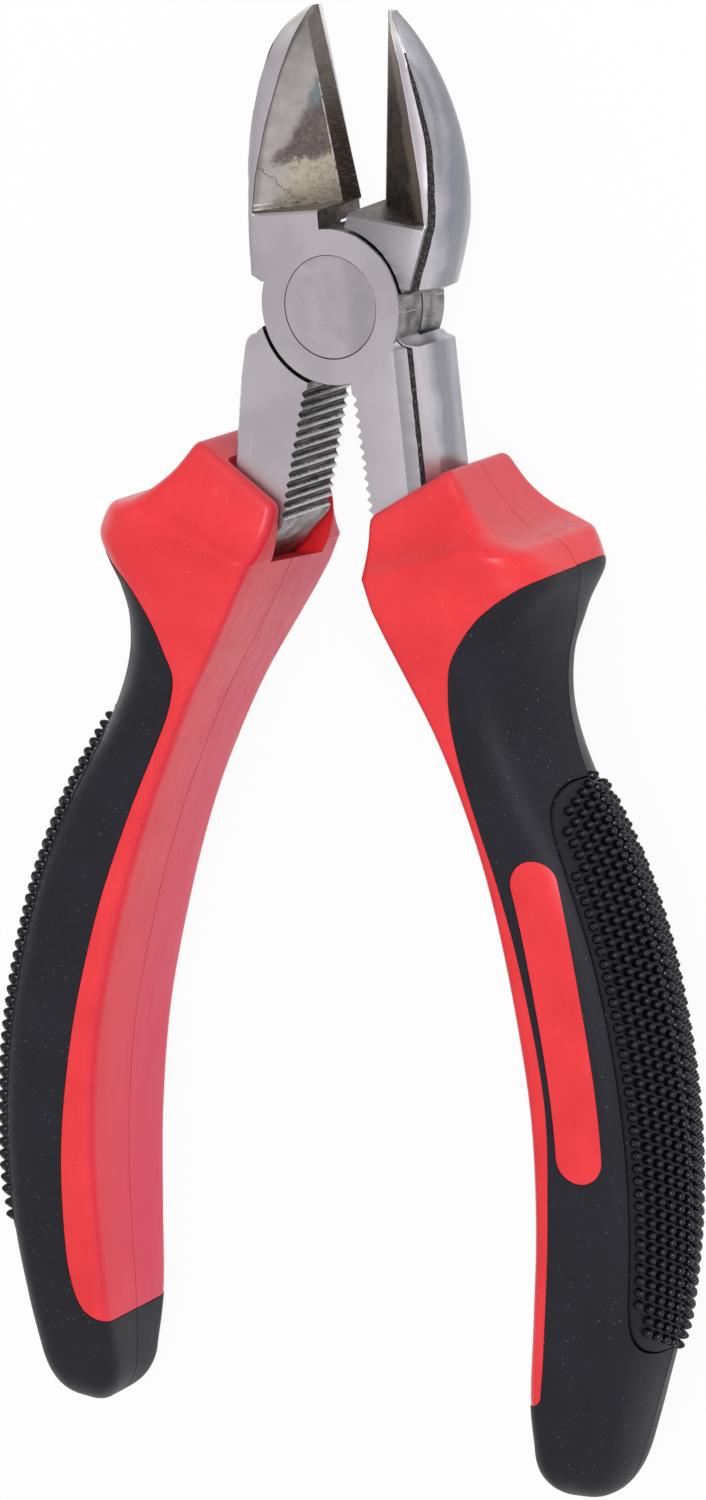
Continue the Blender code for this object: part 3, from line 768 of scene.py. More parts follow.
def jaw_ring(jaw, y, drop=None):
    """Section across a jaw on the right, from its back inner corner over the front and down the flank."""
    fade = 1 - taper(y)
    back = -HALF + (HALF + TIP_BACK) * taper(y)
    strip_x = max(smoothed(jaw.strip, y), EDGE_GAP + STRIP_LEAST)
    line_x = min(interpolate(jaw.bevel, max(y, FLOOR_Y)), strip_x - STRIP_WIDTH * max(fade, STRIP_FADES[0]))
    line_z = jaw_dome(jaw, line_x, y)
    if y > FLOOR_Y:
        join = min((y - FLOOR_Y) / HEEL_JOIN, 1.0)
        line_z = (1 - join) * jaw_dome(jaw, line_x, FLOOR_Y) + join * interpolate(jaw.height, y)
    points = jaw_front(jaw, y, back, (line_x, line_z), drop)
    fall = (STRIP_FALL + jaw.drop * min(STRIP_GAIN * taper(y), 1.0)) * max(fade, STRIP_FADES[1])
    start_x = line_x + min(jaw.lip, STRIP_WIDTH * (strip_x - line_x))
    for i in range(STRIP_STEPS + 1):
        share = i / STRIP_STEPS
        points.append((start_x + (strip_x - start_x) * share, line_z - LIP_SINK - fall * share ** 2))
    strip_z = points[-1][1]
    widest = max(jaw_width(y), strip_x + FLANK_ROOM[0] * fade + FLANK_ROOM[1])
    run_out = min(max((WALL_TOP - (y - FLOOR_Y)) / WALL_RUN_OUT, WALL_LEAST), 1.0)
    high = WALL_HEIGHT * max(fade, WALL_FADE) ** 0.5 * run_out
    wall_z = max(strip_z - high, back + WALL_FOOT * (strip_z - back))
    uneven = WALL_UNEVEN * rough(y, *WALL_GRAIN) * fade
    points[-1] = (strip_x + 0.5 * uneven, strip_z)
    wall_x = strip_x + WALL_LEAN * fade ** 0.5
    points.append((wall_x + 0.5 * uneven, wall_z - uneven))
    belly_z = back + BELLY_SHARE * (wall_z - back)
    for i in range(1, FLANK_STEPS + 1):
        u = i / FLANK_STEPS
        points.append((wall_x + (widest - wall_x) * (1 - (1 - u) ** 2), wall_z + (belly_z - wall_z) * u))
    drop_z = back + BACK_RISE * fade - belly_z
    points += [(widest - BELLY_ROUND * fade * u ** 3, belly_z + drop_z * u) for u in BACK_SHARES]
    points.append((widest - BACK_ROUND * fade - LIP_SINK, back))
    return [(x, y, z) for x, z in points]


def jaw_body(name, jaw):
    last = FLOOR_Y - HEEL_LIP
    rise = last - HEEL_LIP - JAW_SHOULDER
    heel = [jaw_ring(jaw, JAW_SHOULDER + rise * i / HEEL_STEPS, 0.0) for i in range(HEEL_STEPS + 1)]
    foot = []
    for share, back in HEEL_FOOT:
        shift = share * HEEL_CORNER
        foot.append([(x - (shift if x > BOSS_RADIUS / 2 else 0.0), y - back, z) for x, y, z in heel[0]])
    rim = jaw_ring(jaw, last, HEEL_LIP)
    length = JAW_LENGTH - TIP_BLUNT - FLOOR_Y
    even = {i / BLADE_RINGS for i in range(BLADE_RINGS + 1)}
    shares = sorted(even | {line / length for line in LIP_LINES})
    blade = [jaw_ring(jaw, FLOOR_Y + length * share) for share in shares]
    rings = [*foot, *heel, rim, *blade]
    floor = len(foot) + len(heel)
    front_end = 3 + FRONT_STEPS
    strip_end = front_end + 1 + STRIP_STEPS
    levels = [ring[0][1] - FLOOR_Y for ring in rings]

    def front_zone(r, i):
        if r < floor:
            return jaw.heel
        if r == floor:
            return FLOOR
        low, high = LIP_LINES[1] - LIP_MARGIN, LIP_LINES[2] - LIP_MARGIN
        lip = jaw is FRONT_JAW and (levels[r] < LIP_LINES[0] - LIP_MARGIN or low < levels[r] < high)
        return LIP if lip or (i == 2 and levels[r] < LIP_REACH) else BEVEL

    def zone(r, i):
        if i == 0:
            return GROUND
        if i == 1:
            return EDGE if r >= floor else FLOOR
        if i < front_end:
            return front_zone(r, i)
        if i < strip_end:
            if r < floor:
                return jaw.heel
            return FORGED if i == front_end else GROUND
        if i == strip_end:
            return FORGED if levels[r] < WALL_TOP else FLANK
        return FLANK if i < len(rings[0]) - 2 else GROUND

    return solid(name, rings, zone)


def make_lever(name, jaw, shank, face):
    """Jaw and shank cleared for the other half's boss, joined by their own; face is 1 at the front."""
    far = HEAD_THICKNESS
    step = JOINT_GAP / 2
    rim = ((BOSS_RADIUS, step), (BOSS_RADIUS, HALF - BOSS_CHAMFER), (BOSS_RADIUS - BOSS_CHAMFER, HALF))
    profile = rim if face > 0 else tuple((r, -z) for r, z in reversed(rim))
    lever = turned(name, profile, BOSS_SIDES, SIDE)
    for polygon in lever.data.polygons:
        if abs(polygon.normal.z) > LEVEL_FACE:
            polygon.material_index = GROUND if abs(polygon.center.z) > JOINT_GAP * MM else SIDE
    other = (-far, step) if face > 0 else (-step, far)
    for limb in (jaw, shank):
        room = cylinder("room", BOSS_RADIUS + BOSS_CLEARANCE, *other, BOSS_SIDES)
        combine(lever, "UNION", combine(limb, "DIFFERENCE", room))
    head = RIVET_HEAD_RADIUS if face > 0 else RIVET_TAIL_RADIUS
    deep = RIVET_HEAD_DEPTH if face > 0 else RIVET_TAIL_DEPTH
    seat = (HALF - deep - RIVET_GAP, far) if face > 0 else (-far, -HALF + deep + RIVET_GAP)
    bore = cylinder("bore", RIVET_SHANK_RADIUS + RIVET_GAP, -far, far, BORE_SIDES)
    sink = cylinder("seat", head + RIVET_GAP, *seat, RIVET_SIDES)
    return combine(lever, "DIFFERENCE", bore, sink)


def make_levers():
    rear_jaw = jaw_body("rear_jaw", REAR_JAW)
    front_jaw = mirrored(jaw_body("front_jaw", FRONT_JAW))
    shank = tang_body("shank", 0.0)
    left_shank = mirrored(tang_body("left_shank", 0.0, plain=True))
    front = make_lever("lever_front_seen", front_jaw, shank, 1)
    rear = make_lever("lever_rear_seen", rear_jaw, left_shank, -1)
    return front, rear


def make_rivet():
    inward, upward = RIVET_TAIL_CHAMFER
    tail, head = -HALF + RIVET_TAIL_DEPTH, HALF - RIVET_HEAD_DEPTH
    profile = ((RIVET_TAIL_RADIUS - inward, RIVET_BACK), (RIVET_TAIL_RADIUS, RIVET_BACK + upward),
               (RIVET_TAIL_RADIUS, tail), (RIVET_SHANK_RADIUS, tail),
               (RIVET_SHANK_RADIUS, head), (RIVET_HEAD_RADIUS, head),
               (RIVET_HEAD_RADIUS, RIVET_FRONT - RIVET_CHAMFER),
               (RIVET_HEAD_RADIUS - RIVET_CHAMFER, RIVET_FRONT))
    return turned("rivet_seen", profile, RIVET_SIDES, 0, RIVET_SHIFT)


def make_grip(side):
    """Core, skin and studded pad of a handle, drawn on the right."""
    core = grip_body(f"core_{side}_seen", 0.0, SEAM_HEIGHT)
    skin_room = combine(skin_cutter(side, SKIN_GAP), "DIFFERENCE", grip_inside(OVERMOLD_THICKNESS))
    combine(core, "DIFFERENCE", skin_room, tang_body("tang_room", CORE_GAP))
    combine(core, "DIFFERENCE", tang_body("mouth", MOUTH_GAP, MOUTH_END), notch("notch", side))
    skin = grip_body(f"skin_{side}_seen", -SKIN_PROUD, SEAM_HEIGHT)
    combine(skin, "INTERSECT", skin_cutter(side, 0.0))
    combine(skin, "DIFFERENCE", grip_inside(OVERMOLD_THICKNESS - SKIN_GAP))
    pad_room = combine(pad_cutter(PAD_GAP), "DIFFERENCE", grip_inside(PAD_SEAT + SKIN_GAP))
    combine(skin, "DIFFERENCE", pad_room)
    pad = grip_body(f"pad_{side}_seen", -PAD_PROUD)
    combine(pad, "INTERSECT", pad_cutter(0.0))
    combine(pad, "DIFFERENCE", grip_inside(PAD_SEAT))
    combine(pad, "UNION", pad_studs("studs", 1 if side == "right" else -1))
    return core, skin, pad


# Materials
SPECK_CORE = 0.6


class Value:
    """Number in a node tree, with the sums that the looks need."""

    def __init__(self, nodes, socket):
        self.nodes = nodes
        self.socket = socket

    def __add__(self, other):
        return self.nodes.maths("ADD", self, other)

    def __sub__(self, other):
        return self.nodes.maths("SUBTRACT", self, other)

    def __mul__(self, other):
        return self.nodes.maths("MULTIPLY", self, other)

    def __abs__(self):
        return self.nodes.maths("ABSOLUTE", self)

    def swing(self, width):
        """A noise turned into a swing of a width about zero."""
        return (self - 0.5) * width

    def band(self, low, high, start=0.0, end=1.0, kind="SMOOTHSTEP"):
        """Step from start to end between two limits."""
        node = self.nodes.add("ShaderNodeMapRange", interpolation_type=kind)
        self.nodes.feed_all(node.inputs, (self, low, high, start, end))
        return Value(self.nodes, node.outputs[0])


class Nodes:
    """Short names for building a node tree."""

    def __init__(self, tree):
        self.tree = tree

    def add(self, kind, **settings):
        node = self.tree.nodes.new(kind)
        for key, value in settings.items():
            setattr(node, key, value)
        return node

    def feed(self, socket, value):
        source = value.socket if isinstance(value, Value) else value
        if isinstance(source, bpy.types.NodeSocket):
            self.tree.links.new(source, socket)
        else:
            socket.default_value = source

    def feed_all(self, sockets, values):
        for socket, value in zip(sockets, values):
            self.feed(socket, value)

    def maths(self, operation, a, b=0.0):
        node = self.add("ShaderNodeMath", operation=operation)
        self.feed_all(node.inputs, (a, b))
        return Value(self, node.outputs[0])

    def split(self, vector):
        node = self.add("ShaderNodeSeparateXYZ")
        self.feed(node.inputs[0], vector)
        return [Value(self, part) for part in node.outputs]


class Look(Nodes):
    """Node tree of one procedural material, read in the piece's own closed drawing."""

    def __init__(self, name, **constants):
        self.material = bpy.data.materials.new(name)
        self.material.use_nodes = True
        super().__init__(self.material.node_tree)
        self.shader = self.tree.nodes["Principled BSDF"]
        for socket, value in constants.items():
            self.shader.inputs[socket.replace("_", " ")].default_value = value
        spot = self.add("ShaderNodeTexCoord").outputs
        self.place = spot["Object"]
        self.normal = spot["Normal"]
        self.x, self.y, self.z = self.split(self.place)
        self.colour = None

    def space(self, stretch, turn=0.0):
        """The drawing's space stretched along its axes after a turn about Z."""
        node = self.add("ShaderNodeMapping")
        self.feed(node.inputs["Vector"], self.place)
        node.inputs["Rotation"].default_value = (0, 0, math.radians(turn))
        node.inputs["Scale"].default_value = stretch
        return node.outputs[0]

    def noise(self, size, detail=3.0, space=None, roughness=0.5):
        """Soft noise with grains of a size in millimetres."""
        node = self.add("ShaderNodeTexNoise")
        self.feed(node.inputs["Vector"], space or self.place)
        node.inputs["Scale"].default_value = 1000.0 / size
        node.inputs["Detail"].default_value = detail
        node.inputs["Roughness"].default_value = roughness
        return Value(self, node.outputs["Fac"])

    def specks(self, spacing, radius, share):
        """Scattered round specks: spacing and radius in millimetres, share of places that hold one."""
        node = self.add("ShaderNodeTexVoronoi")
        self.feed(node.inputs["Vector"], self.place)
        node.inputs["Scale"].default_value = 1000.0 / spacing
        size = radius / spacing
        near = Value(self, node.outputs["Distance"]).band(SPECK_CORE * size, size, 1.0, 0.0)
        return near * self.maths("LESS_THAN", self.split(node.outputs["Color"])[0], share)

    def mix(self, factor, a, b):
        node = self.add("ShaderNodeMix", data_type="RGBA")
        self.feed(node.inputs[0], factor)
        for socket, value in ((node.inputs[6], a), (node.inputs[7], b)):
            self.feed(socket, (*value, 1.0) if isinstance(value, tuple) else value)
        return node.outputs[2]

    def begin(self, value, low, high, dark, pale):
        """First coat, from dark to pale between two limits of a value."""
        self.colour = self.mix(value.band(low, high), dark, pale)

    def paint(self, factor, colour):
        self.colour = self.mix(factor, self.colour, colour)

    def done(self, roughness, height, depth):
        """Wire the colour, a roughness and a relief of a depth in millimetres."""
        relief = self.add("ShaderNodeBump")
        relief.inputs["Strength"].default_value = 1.0
        relief.inputs["Distance"].default_value = depth * MM
        self.feed(relief.inputs["Height"], height)
        sockets = [self.shader.inputs[name] for name in ("Base Color", "Roughness", "Normal")]
        self.feed_all(sockets, (self.colour, roughness, relief.outputs[0]))
        return self.material


def shade(tint, factor):
    return tuple(min(c * factor, 1.0) for c in tint)


def ground_steel(name, tint):
    """Satin steel off a fine belt: cloudy tone, fine grain, faint long marks, a few pits and a painted
    highlight that pales the jaw tips.
    """
    look = Look(name, Metallic=1.0)
    cloud = look.noise(8.0)
    satin = look.noise(0.17, 2.0)
    marks = look.noise(0.45, 2.0, look.space((1.0, 0.03, 1.0), 7))
    pits = look.specks(3.9, 0.11, 0.3)
    look.begin(cloud, 0.35, 0.65, shade(tint, 0.93), shade(tint, 1.05))
    look.paint(marks.band(0.66, 0.78, 0.0, 0.3), shade(tint, 1.25))
    # Painted highlight: paler towards the tips of the jaws.
    tip = (look.y + cloud * 0.003).band(0.031, 0.0345, 0.0, 0.85)
    look.paint(tip, (0.84, 0.81, 0.80))
    look.paint(pits * 0.7, (0.16, 0.14, 0.14))
    return look.done(satin.band(0.3, 0.7, 0.36, 0.46), satin - pits, 0.003)


def polished_steel(name):
    """Buffed flanks with fine lines and a painted reflection: lighter along both edges, darker in a soft
    band between them.
    """
    look = Look(name, Metallic=1.0)
    cloud = look.noise(5.0)
    level = look.z + cloud.swing(0.003)
    lines = look.noise(0.3, 2.0, look.space((1.0, 0.04, 1.0), 4))
    look.begin(cloud, 0.3, 0.7, (0.36, 0.355, 0.40), (0.44, 0.43, 0.47))
    # Painted reflection: a darker band across the middle of the rounded flank.
    dark = level.band(-0.0036, -0.0018) * level.band(0.0014, -0.0002)
    look.paint(dark * 0.75, (0.235, 0.235, 0.27))
    # Painted reflection: paler near the flank's front edge.
    look.paint(level.band(0.0012, 0.0026, 0.0, 0.6), (0.60, 0.58, 0.61))
    return look.done(lines.band(0.3, 0.7, 0.22, 0.32), lines, 0.004)


def forged_steel(name):
    look = Look(name, Metallic=0.5)
    lumps = look.noise(0.35, 4.0, roughness=0.7)
    look.begin(lumps, 0.48, 0.72, (0.018, 0.017, 0.017), (0.16, 0.15, 0.155))
    return look.done(0.62, lumps, 0.16)


def bevel_share(look, length):
    """Distance out from the edge over the distance left to the tip."""
    return look.maths("DIVIDE", abs(look.x), look.maths("SUBTRACT", length * MM, look.y))


def front_bevel(name):
    """Hand-ground bevel with a brown stain in its middle, blued above and tan below, and painted shade along
    its outer line.
    """
    look = Look(name, Metallic=0.9)
    y = look.y
    share = bevel_share(look, JAW_LENGTH)
    cloud = look.noise(2.2, 4.0, roughness=0.65)
    mottle = look.noise(0.7, 4.0, roughness=0.75)
    scratch = look.noise(0.22, 2.0, look.space((0.05, 1.0, 1.0), -6))
    inside = (y * -24.0 + 0.79 - share + cloud.swing(0.22)).band(-0.04, 0.045)
    low = y + cloud.swing(0.006)
    stain = inside * low.band(0.0165, 0.0178) * low.band(0.0285, 0.0255)
    blued = stain * low.band(0.0222, 0.0245)
    tan = low.band(0.0182, 0.0165) * share.band(0.34, 0.26)
    fringe = low.band(0.0158, 0.0172) * low.band(0.0192, 0.0176) * share.band(0.36, 0.30)
    fringe = fringe * mottle.band(0.52, 0.6)
    # Painted shade: darker along the bevel's outer line.
    rim = (y * 9.5 + 0.28 - share).band(0.035, 0.004, 0.0, 0.55)
    off_crack = abs(look.x + (y * 0.55 + cloud * 0.004) - 0.0032)
    crack = off_crack.band(0.00012, 0.00004) * y.band(0.0172, 0.0165)
    warm = look.mix(mottle.band(0.42, 0.7), (0.62, 0.55, 0.41), (0.38, 0.32, 0.24))
    brown = look.mix(mottle.band(0.35, 0.65), (0.085, 0.062, 0.056), (0.18, 0.145, 0.135))
    look.begin(cloud, 0.3, 0.7, (0.42, 0.385, 0.38), (0.53, 0.49, 0.48))
    look.paint(tan * 0.75, warm)
    look.paint(stain * 0.88, brown)
    look.paint(fringe * 0.75, (0.09, 0.065, 0.05))
    # Painted shade along the outer line.
    look.paint(rim, (0.15, 0.135, 0.13))
    look.paint(blued * 0.75, (0.24, 0.30, 0.315))
    look.paint(crack * 0.8, (0.08, 0.07, 0.06))
    look.paint(look.specks(1.5, 0.11, 0.25) * inside, (0.62, 0.58, 0.55))
    return look.done(scratch.band(0.3, 0.7, 0.28, 0.45), scratch, 0.012)


def rear_bevel(name):
    """Dark brown patina with a painted highlight as a lighter band by the outer line, and a few bright
    specks.
    """
    look = Look(name, Metallic=0.85)
    cloud = look.noise(1.6, 4.0, roughness=0.65)
    scratch = look.noise(0.22, 2.0, look.space((0.05, 1.0, 1.0), 8))
    # Painted highlight: a lighter band by the bevel's outer line.
    outer = (bevel_share(look, JAW_LENGTH + 0.6) + cloud.swing(0.12)).band(0.30, 0.38)
    look.begin(cloud, 0.35, 0.7, (0.04, 0.032, 0.03), (0.105, 0.083, 0.07))
    look.paint(outer * 0.7, (0.29, 0.235, 0.19))
    look.paint(look.y.band(0.024, 0.033) * 0.7, (0.29, 0.25, 0.235))
    look.paint(look.specks(1.3, 0.09, 0.3), (0.6, 0.56, 0.52))
    return look.done(scratch.band(0.3, 0.7, 0.38, 0.55), scratch, 0.012)


def edge_steel(name, dark, pale):
    """Ground cutting bevel, brighter towards the tip, with fine lines across it."""
    look = Look(name, Metallic=0.9)
    cloud = look.noise(2.2, 4.0, roughness=0.65)
    lines = look.noise(0.12, 1.0, look.space((0.12, 1.0, 0.12), 16))
    look.begin(look.y + cloud * 0.008, 0.022, 0.034, dark, pale)
    look.paint(cloud.band(0.4, 0.7, 0.0, 0.45), shade(dark, 0.5))
    look.paint(lines.band(0.55, 0.75, 0.0, 0.5), shade(pale, 1.5))
    return look.done(0.42, lines, 0.015)


def side_steel(name):
    """Turned sides of the joint, brushed along the thickness and darker in places."""
    look = Look(name, Metallic=1.0)
    lines = look.noise(0.3, 2.0, look.space((1.0, 1.0, 0.05)))
    look.begin(look.noise(2.5), 0.3, 0.65, (0.10, 0.094, 0.09), (0.30, 0.29, 0.295))
    look.paint(lines.band(0.58, 0.78), (0.5, 0.49, 0.5))
    return look.done(lines.band(0.3, 0.7, 0.3, 0.5), lines, 0.02)


def floor_steel(name, dark, pale):
    look = Look(name, Metallic=0.9)
    cloud = look.noise(0.8, 4.0, roughness=0.7)
    lines = look.noise(0.15, 1.0, look.space((0.04, 1.0, 1.0)))
    look.begin(cloud, 0.35, 0.65, dark, pale)
    return look.done(0.42, cloud + lines, 0.03)


def worn_steel(name):
    """Bright burnished line, broken in places."""
    look = Look(name, Metallic=1.0)
    breaks = look.noise(0.7, roughness=0.7)
    look.begin(breaks, 0.3, 0.55, (0.22, 0.20, 0.19), (0.78, 0.75, 0.69))
    return look.done(0.34, breaks, 0.02)


def tooth_steel(name):
    """Cut serrations: worn bright at the tips, darker and streaked along the grooves, the dark partly oxide
    and partly painted shade in the grooves.
    """
    look = Look(name, Metallic=0.95)
    start = (SHANK_INNER - SHANK_TAPER * TEETH_FROM_PIVOT) * MM
    depth = abs(look.x) - (look.y * -SHANK_TAPER + start)
    cloud = look.noise(0.5, 4.0, roughness=0.7)
    streak = look.noise(0.2, 3.0, look.space((1.0, 1.0, 0.06)), 0.7)
    streaked_oxide_and_shade = look.mix(streak.band(0.42, 0.62), (0.022, 0.02, 0.02), (0.15, 0.144, 0.146))
    # Darker with depth into the grooves: partly oxide, partly painted shade.
    look.begin(depth + cloud.swing(0.0005), 0.00004, 0.00034, (0.62, 0.61, 0.61), streaked_oxide_and_shade)
    return look.done(0.4, cloud + streak, 0.05)


def rivet_steel(name, tint):
    """Rivet head faced off on a lathe: faint rings about its middle."""
    look = Look(name, Metallic=1.0)
    shift = look.x + 0.0012
    radius = look.maths("SQRT", shift * shift + look.y * look.y)
    wobble = look.noise(3.0, 2.0) * 0.0006
    rings = look.maths("SINE", (radius + wobble) * 22000.0)
    cloud = look.noise(3.2, 4.0, roughness=0.6)
    look.begin(cloud, 0.35, 0.65, shade(tint, 0.88), tint)
    look.paint((look.x + cloud * 0.003).band(0.0028, 0.005, 0.0, 0.6), shade(tint, 0.68))
    look.paint(rings.band(0.2, 1.0, 0.0, 0.22), shade(tint, 1.2))
    return look.done(cloud.band(0.3, 0.7, 0.33, 0.45), rings, 0.002)


def red_plastic(name):
    """Satin red with a mould seam, painted shade and reflection that make the inward faces darker and
    pinker, and a darker tone on the collar's sides.
    """
    look = Look(name, Specular_IOR_Level=0.55, Specular_Tint=(0.95, 0.74, 0.88, 1.0))
    skin = look.noise(0.28, roughness=0.6)
    smear = look.noise(1.1, 3.0, look.space((1.0, 0.12, 1.0), 10))
    # Painted shade and reflection: a darker, pinker tone on the faces turned towards the other handle.
    inward = (look.maths("SIGN", look.x) * look.split(look.normal)[0]).band(-0.4, -0.85)
    height = abs(look.z)
    # Darker on the collar's sides.
    saddle = height.band(0.0085, 0.0065) * (look.y + skin * 0.001).band(-0.0288, -0.0274)
    look.begin(look.noise(9.0), 0.3, 0.7, (0.755, 0.025, 0.030), (0.845, 0.035, 0.040))
    look.paint(smear.band(0.6, 0.85, 0.0, 0.35), (0.82, 0.09, 0.10))
    look.paint(inward * look.z.band(0.007, -0.005, 0.35, 1.0), (0.69, 0.028, 0.08))
    look.paint(height.band(0.00014, 0.00004) * 0.55, (0.33, 0.012, 0.02))
    look.paint(saddle * 0.4, (0.48, 0.055, 0.07))
    look.paint(look.specks(1.0, 0.075, 0.4) * 0.5, (0.86, 0.5, 0.46))
    return look.done(smear.band(0.3, 0.8, 0.29, 0.42), skin, 0.012)


def black_rubber(name, tint, low, high, grain, shine):
    """Black rubber with a roughness between low and high, a grain in millimetres, faint marks and dust."""
    look = Look(name, Specular_IOR_Level=shine, Specular_Tint=(0.92, 0.9, 1.0, 1.0))
    cloud = look.noise(11.0)
    skin = look.noise(0.22, roughness=0.65)
    fine = look.noise(0.3, 2.0, roughness=0.7)
    marks = look.noise(3.0, 4.0, roughness=0.75)
    look.begin(cloud, 0.3, 0.7, shade(tint, 0.8), shade(tint, 1.25))
    look.paint(marks.band(0.62, 0.8, 0.0, 0.4), shade(tint, 2.4))
    look.paint(fine.band(0.5, 0.75, 0.0, 0.5), shade(tint, 3.0))
    look.paint(look.specks(0.8, 0.08, 0.4) * 0.6, (0.3, 0.29, 0.27))
    return look.done(cloud.band(0.3, 0.7, low, high), skin, grain)


STEEL_TINT = (0.58, 0.535, 0.58)
# Darker copy of the steel tint: painted shade on the shank's sloped band.
SHADED_BAND_TINT = (0.34, 0.322, 0.35)
# Darker copy of the steel tint: painted shade on the rear jaw's tilted heel.
SHADED_HEEL_TINT = (0.25, 0.236, 0.255)


def lever_materials(side):
    """Materials of a lever in the order of its zones."""
    if side == "front":
        bevel = front_bevel("bevel_front")
        edge = edge_steel("edge_front", (0.078, 0.056, 0.046), (0.27, 0.235, 0.22))
        floor = floor_steel("floor_front", (0.05, 0.041, 0.037), (0.15, 0.128, 0.115))
    else:
        bevel = rear_bevel("bevel_rear")
        edge = edge_steel("edge_rear", (0.08, 0.066, 0.058), (0.24, 0.21, 0.2))
        floor = floor_steel("floor_rear", (0.075, 0.063, 0.056), (0.19, 0.165, 0.15))
    return [ground_steel("ground_" + side, STEEL_TINT), polished_steel("polished_" + side),
            forged_steel("forged_" + side), bevel, edge, floor, side_steel("turned_" + side),
            # The band look is ground steel darkened as painted shade.
            tooth_steel("teeth_" + side), ground_steel("band_" + side, SHADED_BAND_TINT), worn_steel("lip_" + side),
            # The heel look is ground steel darkened as painted shade.
            ground_steel("heel_" + side, SHADED_HEEL_TINT)]


def drop_flaps(data):
    """Join points that coincide and take away pairs of faces that lie back to back."""
    mesh = bmesh.new()
    mesh.from_mesh(data)
    bmesh.ops.remove_doubles(mesh, verts=mesh.verts, dist=SAME_PLACE * MM)
    bmesh.ops.triangulate(mesh, faces=mesh.faces)
    faces_on = {}
    for face in mesh.faces:
        faces_on.setdefault(frozenset(face.verts), []).append(face)
    flaps = [face for faces in faces_on.values() if len(faces) > 1 for face in faces]
    bmesh.ops.delete(mesh, geom=flaps, context="FACES")
    mesh.to_mesh(data)
    mesh.free()


def finish_piece(piece, name, node, slot, body, looks, sharp=SHARP):
    """Dress a piece, stand it at the pivot and hang it on its body."""
    drop_flaps(piece.data)
    zones = [polygon.material_index for polygon in piece.data.polygons]
    piece.name = name
    piece.data.name = name
    piece.data.materials.clear()
    for look in looks:
        piece.data.materials.append(look)
    if len(looks) > 1:
        piece.data.polygons.foreach_set("material_index", zones)
        piece.data.update()
    piece.data.shade_smooth()
    piece.data.set_sharp_from_angle(angle=math.radians(sharp))
    turn = OPENING / 2 if body == "front_half" else -OPENING / 2
    piece.matrix_world = Matrix.Translation(PIVOT) @ Matrix.Rotation(math.radians(turn), 4, "Z")
    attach(piece, body)
    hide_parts(node)


# Camera: its angles in degrees, and where it sees the front of the pivot, in pixels of the photograph
AZIMUTH, ELEVATION, ROLL = 29.23, 13.66, -0.59
IMAGE_HEIGHT = 1500
FOCAL_PIXELS = 6308.0
SENSOR = 36.0
CLIP = (0.05, 20.0)
PIXELS_PER_MM = 8.555
FRONT_CENTRE_OFFSET = (-23.0, 442.6, -6308.0)


def make_camera():
    turn = Matrix.Identity(3)
    for angle, axis in ((ROLL, "Z"), (ELEVATION, "X"), (-AZIMUTH, "Y")):
        turn = turn @ Matrix.Rotation(math.radians(angle), 3, axis)
    turn.transpose()
    offset = Vector(FRONT_CENTRE_OFFSET) * (MM / PIXELS_PER_MM)
    data = bpy.data.cameras.new("camera")
    data.sensor_width = SENSOR
    data.lens = SENSOR * FOCAL_PIXELS / IMAGE_HEIGHT
    data.clip_start, data.clip_end = CLIP
    camera = link_object("camera", data)
    place = PIVOT + Vector((0, 0, HALF * MM)) - turn @ offset
    camera.matrix_world = Matrix.Translation(place) @ turn.to_4x4()
    bpy.context.scene.camera = camera


# Floor, sky and lamps, in metres
FLOOR_REACH = 12.0
FLOOR_CELLS = 8
FLOOR_COLOUR = (0.86, 0.86, 0.87, 1)
WHITE_SHARE = 0.94
SKY_ACROSS = (-0.7, 0.9, 0.68, 0.92)
SKY_UP = (0.02, 0.45, 0.5, 1.0)
LAMP_AIM = Vector((0, 0.0, 0.01))
LAMPS = (("key", (0.42, 0.42, 0.95), 0.5, 3.4), ("spark", (0.40, 0.34, 0.90), 0.1, 1.1))


def area_light(name, place, size, power):
    data = bpy.data.lights.new(name, "AREA")
    data.shape = "RECTANGLE"
    data.size, data.size_y = size, size
    data.energy = power
    lamp = link_object(name, data)
    lamp.location = place
    lamp.rotation_euler = (LAMP_AIM - Vector(place)).to_track_quat("-Z", "Y").to_euler()


def make_floor():
    """Pale floor that keeps its shadows and is near white where it is seen."""
    mesh = bmesh.new()
    bmesh.ops.create_grid(mesh, x_segments=FLOOR_CELLS, y_segments=FLOOR_CELLS, size=FLOOR_REACH)
    floor = mesh_object("floor", mesh)
    material = bpy.data.materials.new("pale_floor")
    material.use_nodes = True
    nodes = Nodes(material.node_tree)
    nodes.tree.nodes.clear()
    plain = nodes.add("ShaderNodeBsdfDiffuse")
    plain.inputs["Color"].default_value = FLOOR_COLOUR
    white = nodes.add("ShaderNodeEmission")
    white.inputs["Color"].default_value = (1, 1, 1, 1)
    rays = nodes.add("ShaderNodeLightPath").outputs
    seen = nodes.maths("MAXIMUM", rays["Is Camera Ray"], rays["Is Transmission Ray"])
    seen = nodes.maths("MAXIMUM", seen, rays["Is Glossy Ray"])
    both = nodes.add("ShaderNodeMixShader")
    nodes.feed_all(both.inputs, (seen * WHITE_SHARE, plain.outputs[0], white.outputs[0]))
    nodes.feed(nodes.add("ShaderNodeOutputMaterial").inputs["Surface"], both.outputs[0])
    floor.data.materials.append(material)


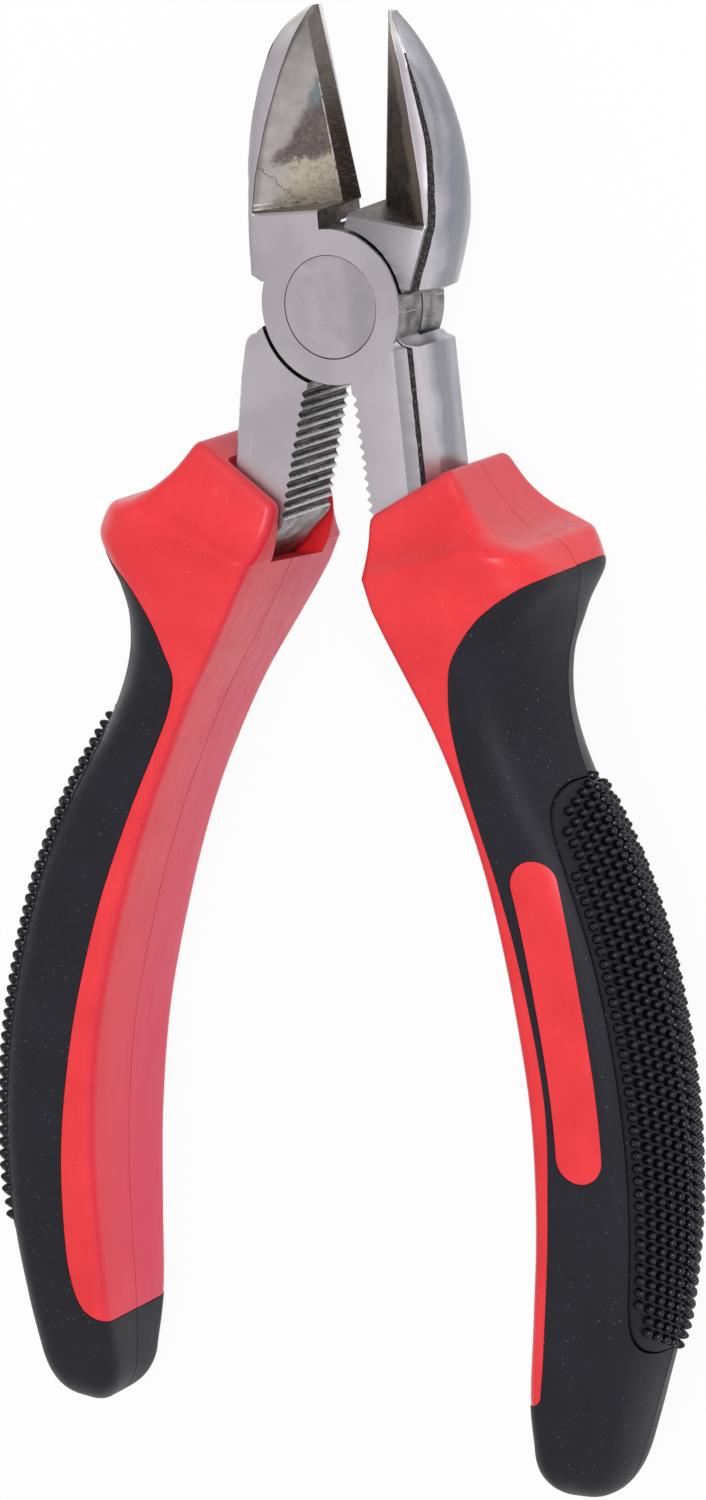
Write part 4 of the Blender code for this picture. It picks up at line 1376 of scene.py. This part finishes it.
def make_sky():
    """Soft grey light, stronger from the right and from above."""
    world = bpy.data.worlds.new("studio")
    bpy.context.scene.world = world
    world.use_nodes = True
    nodes = Nodes(world.node_tree)
    across, _, up = nodes.split(nodes.add("ShaderNodeTexCoord").outputs["Generated"])
    level = across.band(*SKY_ACROSS, "LINEAR") * up.band(*SKY_UP, "LINEAR")
    tone = nodes.add("ShaderNodeCombineColor")
    nodes.feed_all(tone.inputs, (level, level, level))
    sky = nodes.tree.nodes["Background"]
    nodes.feed(sky.inputs["Color"], tone.outputs[0])
    sky.inputs["Strength"].default_value = 1.0


scene = bpy.context.scene
scene.view_settings.view_transform = "Standard"
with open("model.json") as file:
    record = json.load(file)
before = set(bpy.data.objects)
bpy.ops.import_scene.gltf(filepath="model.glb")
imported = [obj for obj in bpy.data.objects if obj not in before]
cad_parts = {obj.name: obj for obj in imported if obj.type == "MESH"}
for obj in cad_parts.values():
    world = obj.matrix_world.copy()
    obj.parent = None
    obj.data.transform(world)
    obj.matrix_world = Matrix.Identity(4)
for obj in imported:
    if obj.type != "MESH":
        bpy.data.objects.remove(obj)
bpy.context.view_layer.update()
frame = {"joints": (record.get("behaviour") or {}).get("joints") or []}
PIVOT = Vector(frame["joints"][0]["pos_m"])
make_camera()
make_floor()
make_sky()
for lamp_row in LAMPS:
    area_light(*lamp_row)

front_lever, rear_lever = make_levers()
rivet = make_rivet()
right = make_grip("right")
left = [turned_over(piece) for piece in make_grip("left")]
for lever, word in ((front_lever, "front"), (rear_lever, "rear")):
    finish_piece(lever, f"lever_{word}_seen", f"{word}_jaw_lever", "steel", f"{word}_half",
                 lever_materials(word), LEVER_SHARP)
finish_piece(rivet, "rivet_seen", "pivot_rivet", "steel", "front_half",
             [rivet_steel("rivet_face", STEEL_TINT)])
grip_looks = (("core", "grip_core", "red_core", [red_plastic("red_plastic")]),
              ("skin", "grip_overmold", "black_skin",
               [black_rubber("black_rubber", (0.0085, 0.0082, 0.0125), 0.44, 0.58, 0.012, 0.3)]),
              ("pad", "grip_pad", "black_pad",
               [black_rubber("black_pad_plate", (0.0065, 0.0062, 0.0092), 0.4, 0.5, 0.012, 0.3),
                black_rubber("black_pad_studs", (0.003, 0.003, 0.0045), 0.07, 0.13, 0.003, 0.42)]))
for pieces, side, body in ((right, "right", "front_half"), (left, "left", "rear_half")):
    for piece, (word, node, slot, looks) in zip(pieces, grip_looks):
        finish_piece(piece, f"{word}_{side}_seen", f"{node}_{side}", slot, body, looks)

bpy.context.view_layer.update()
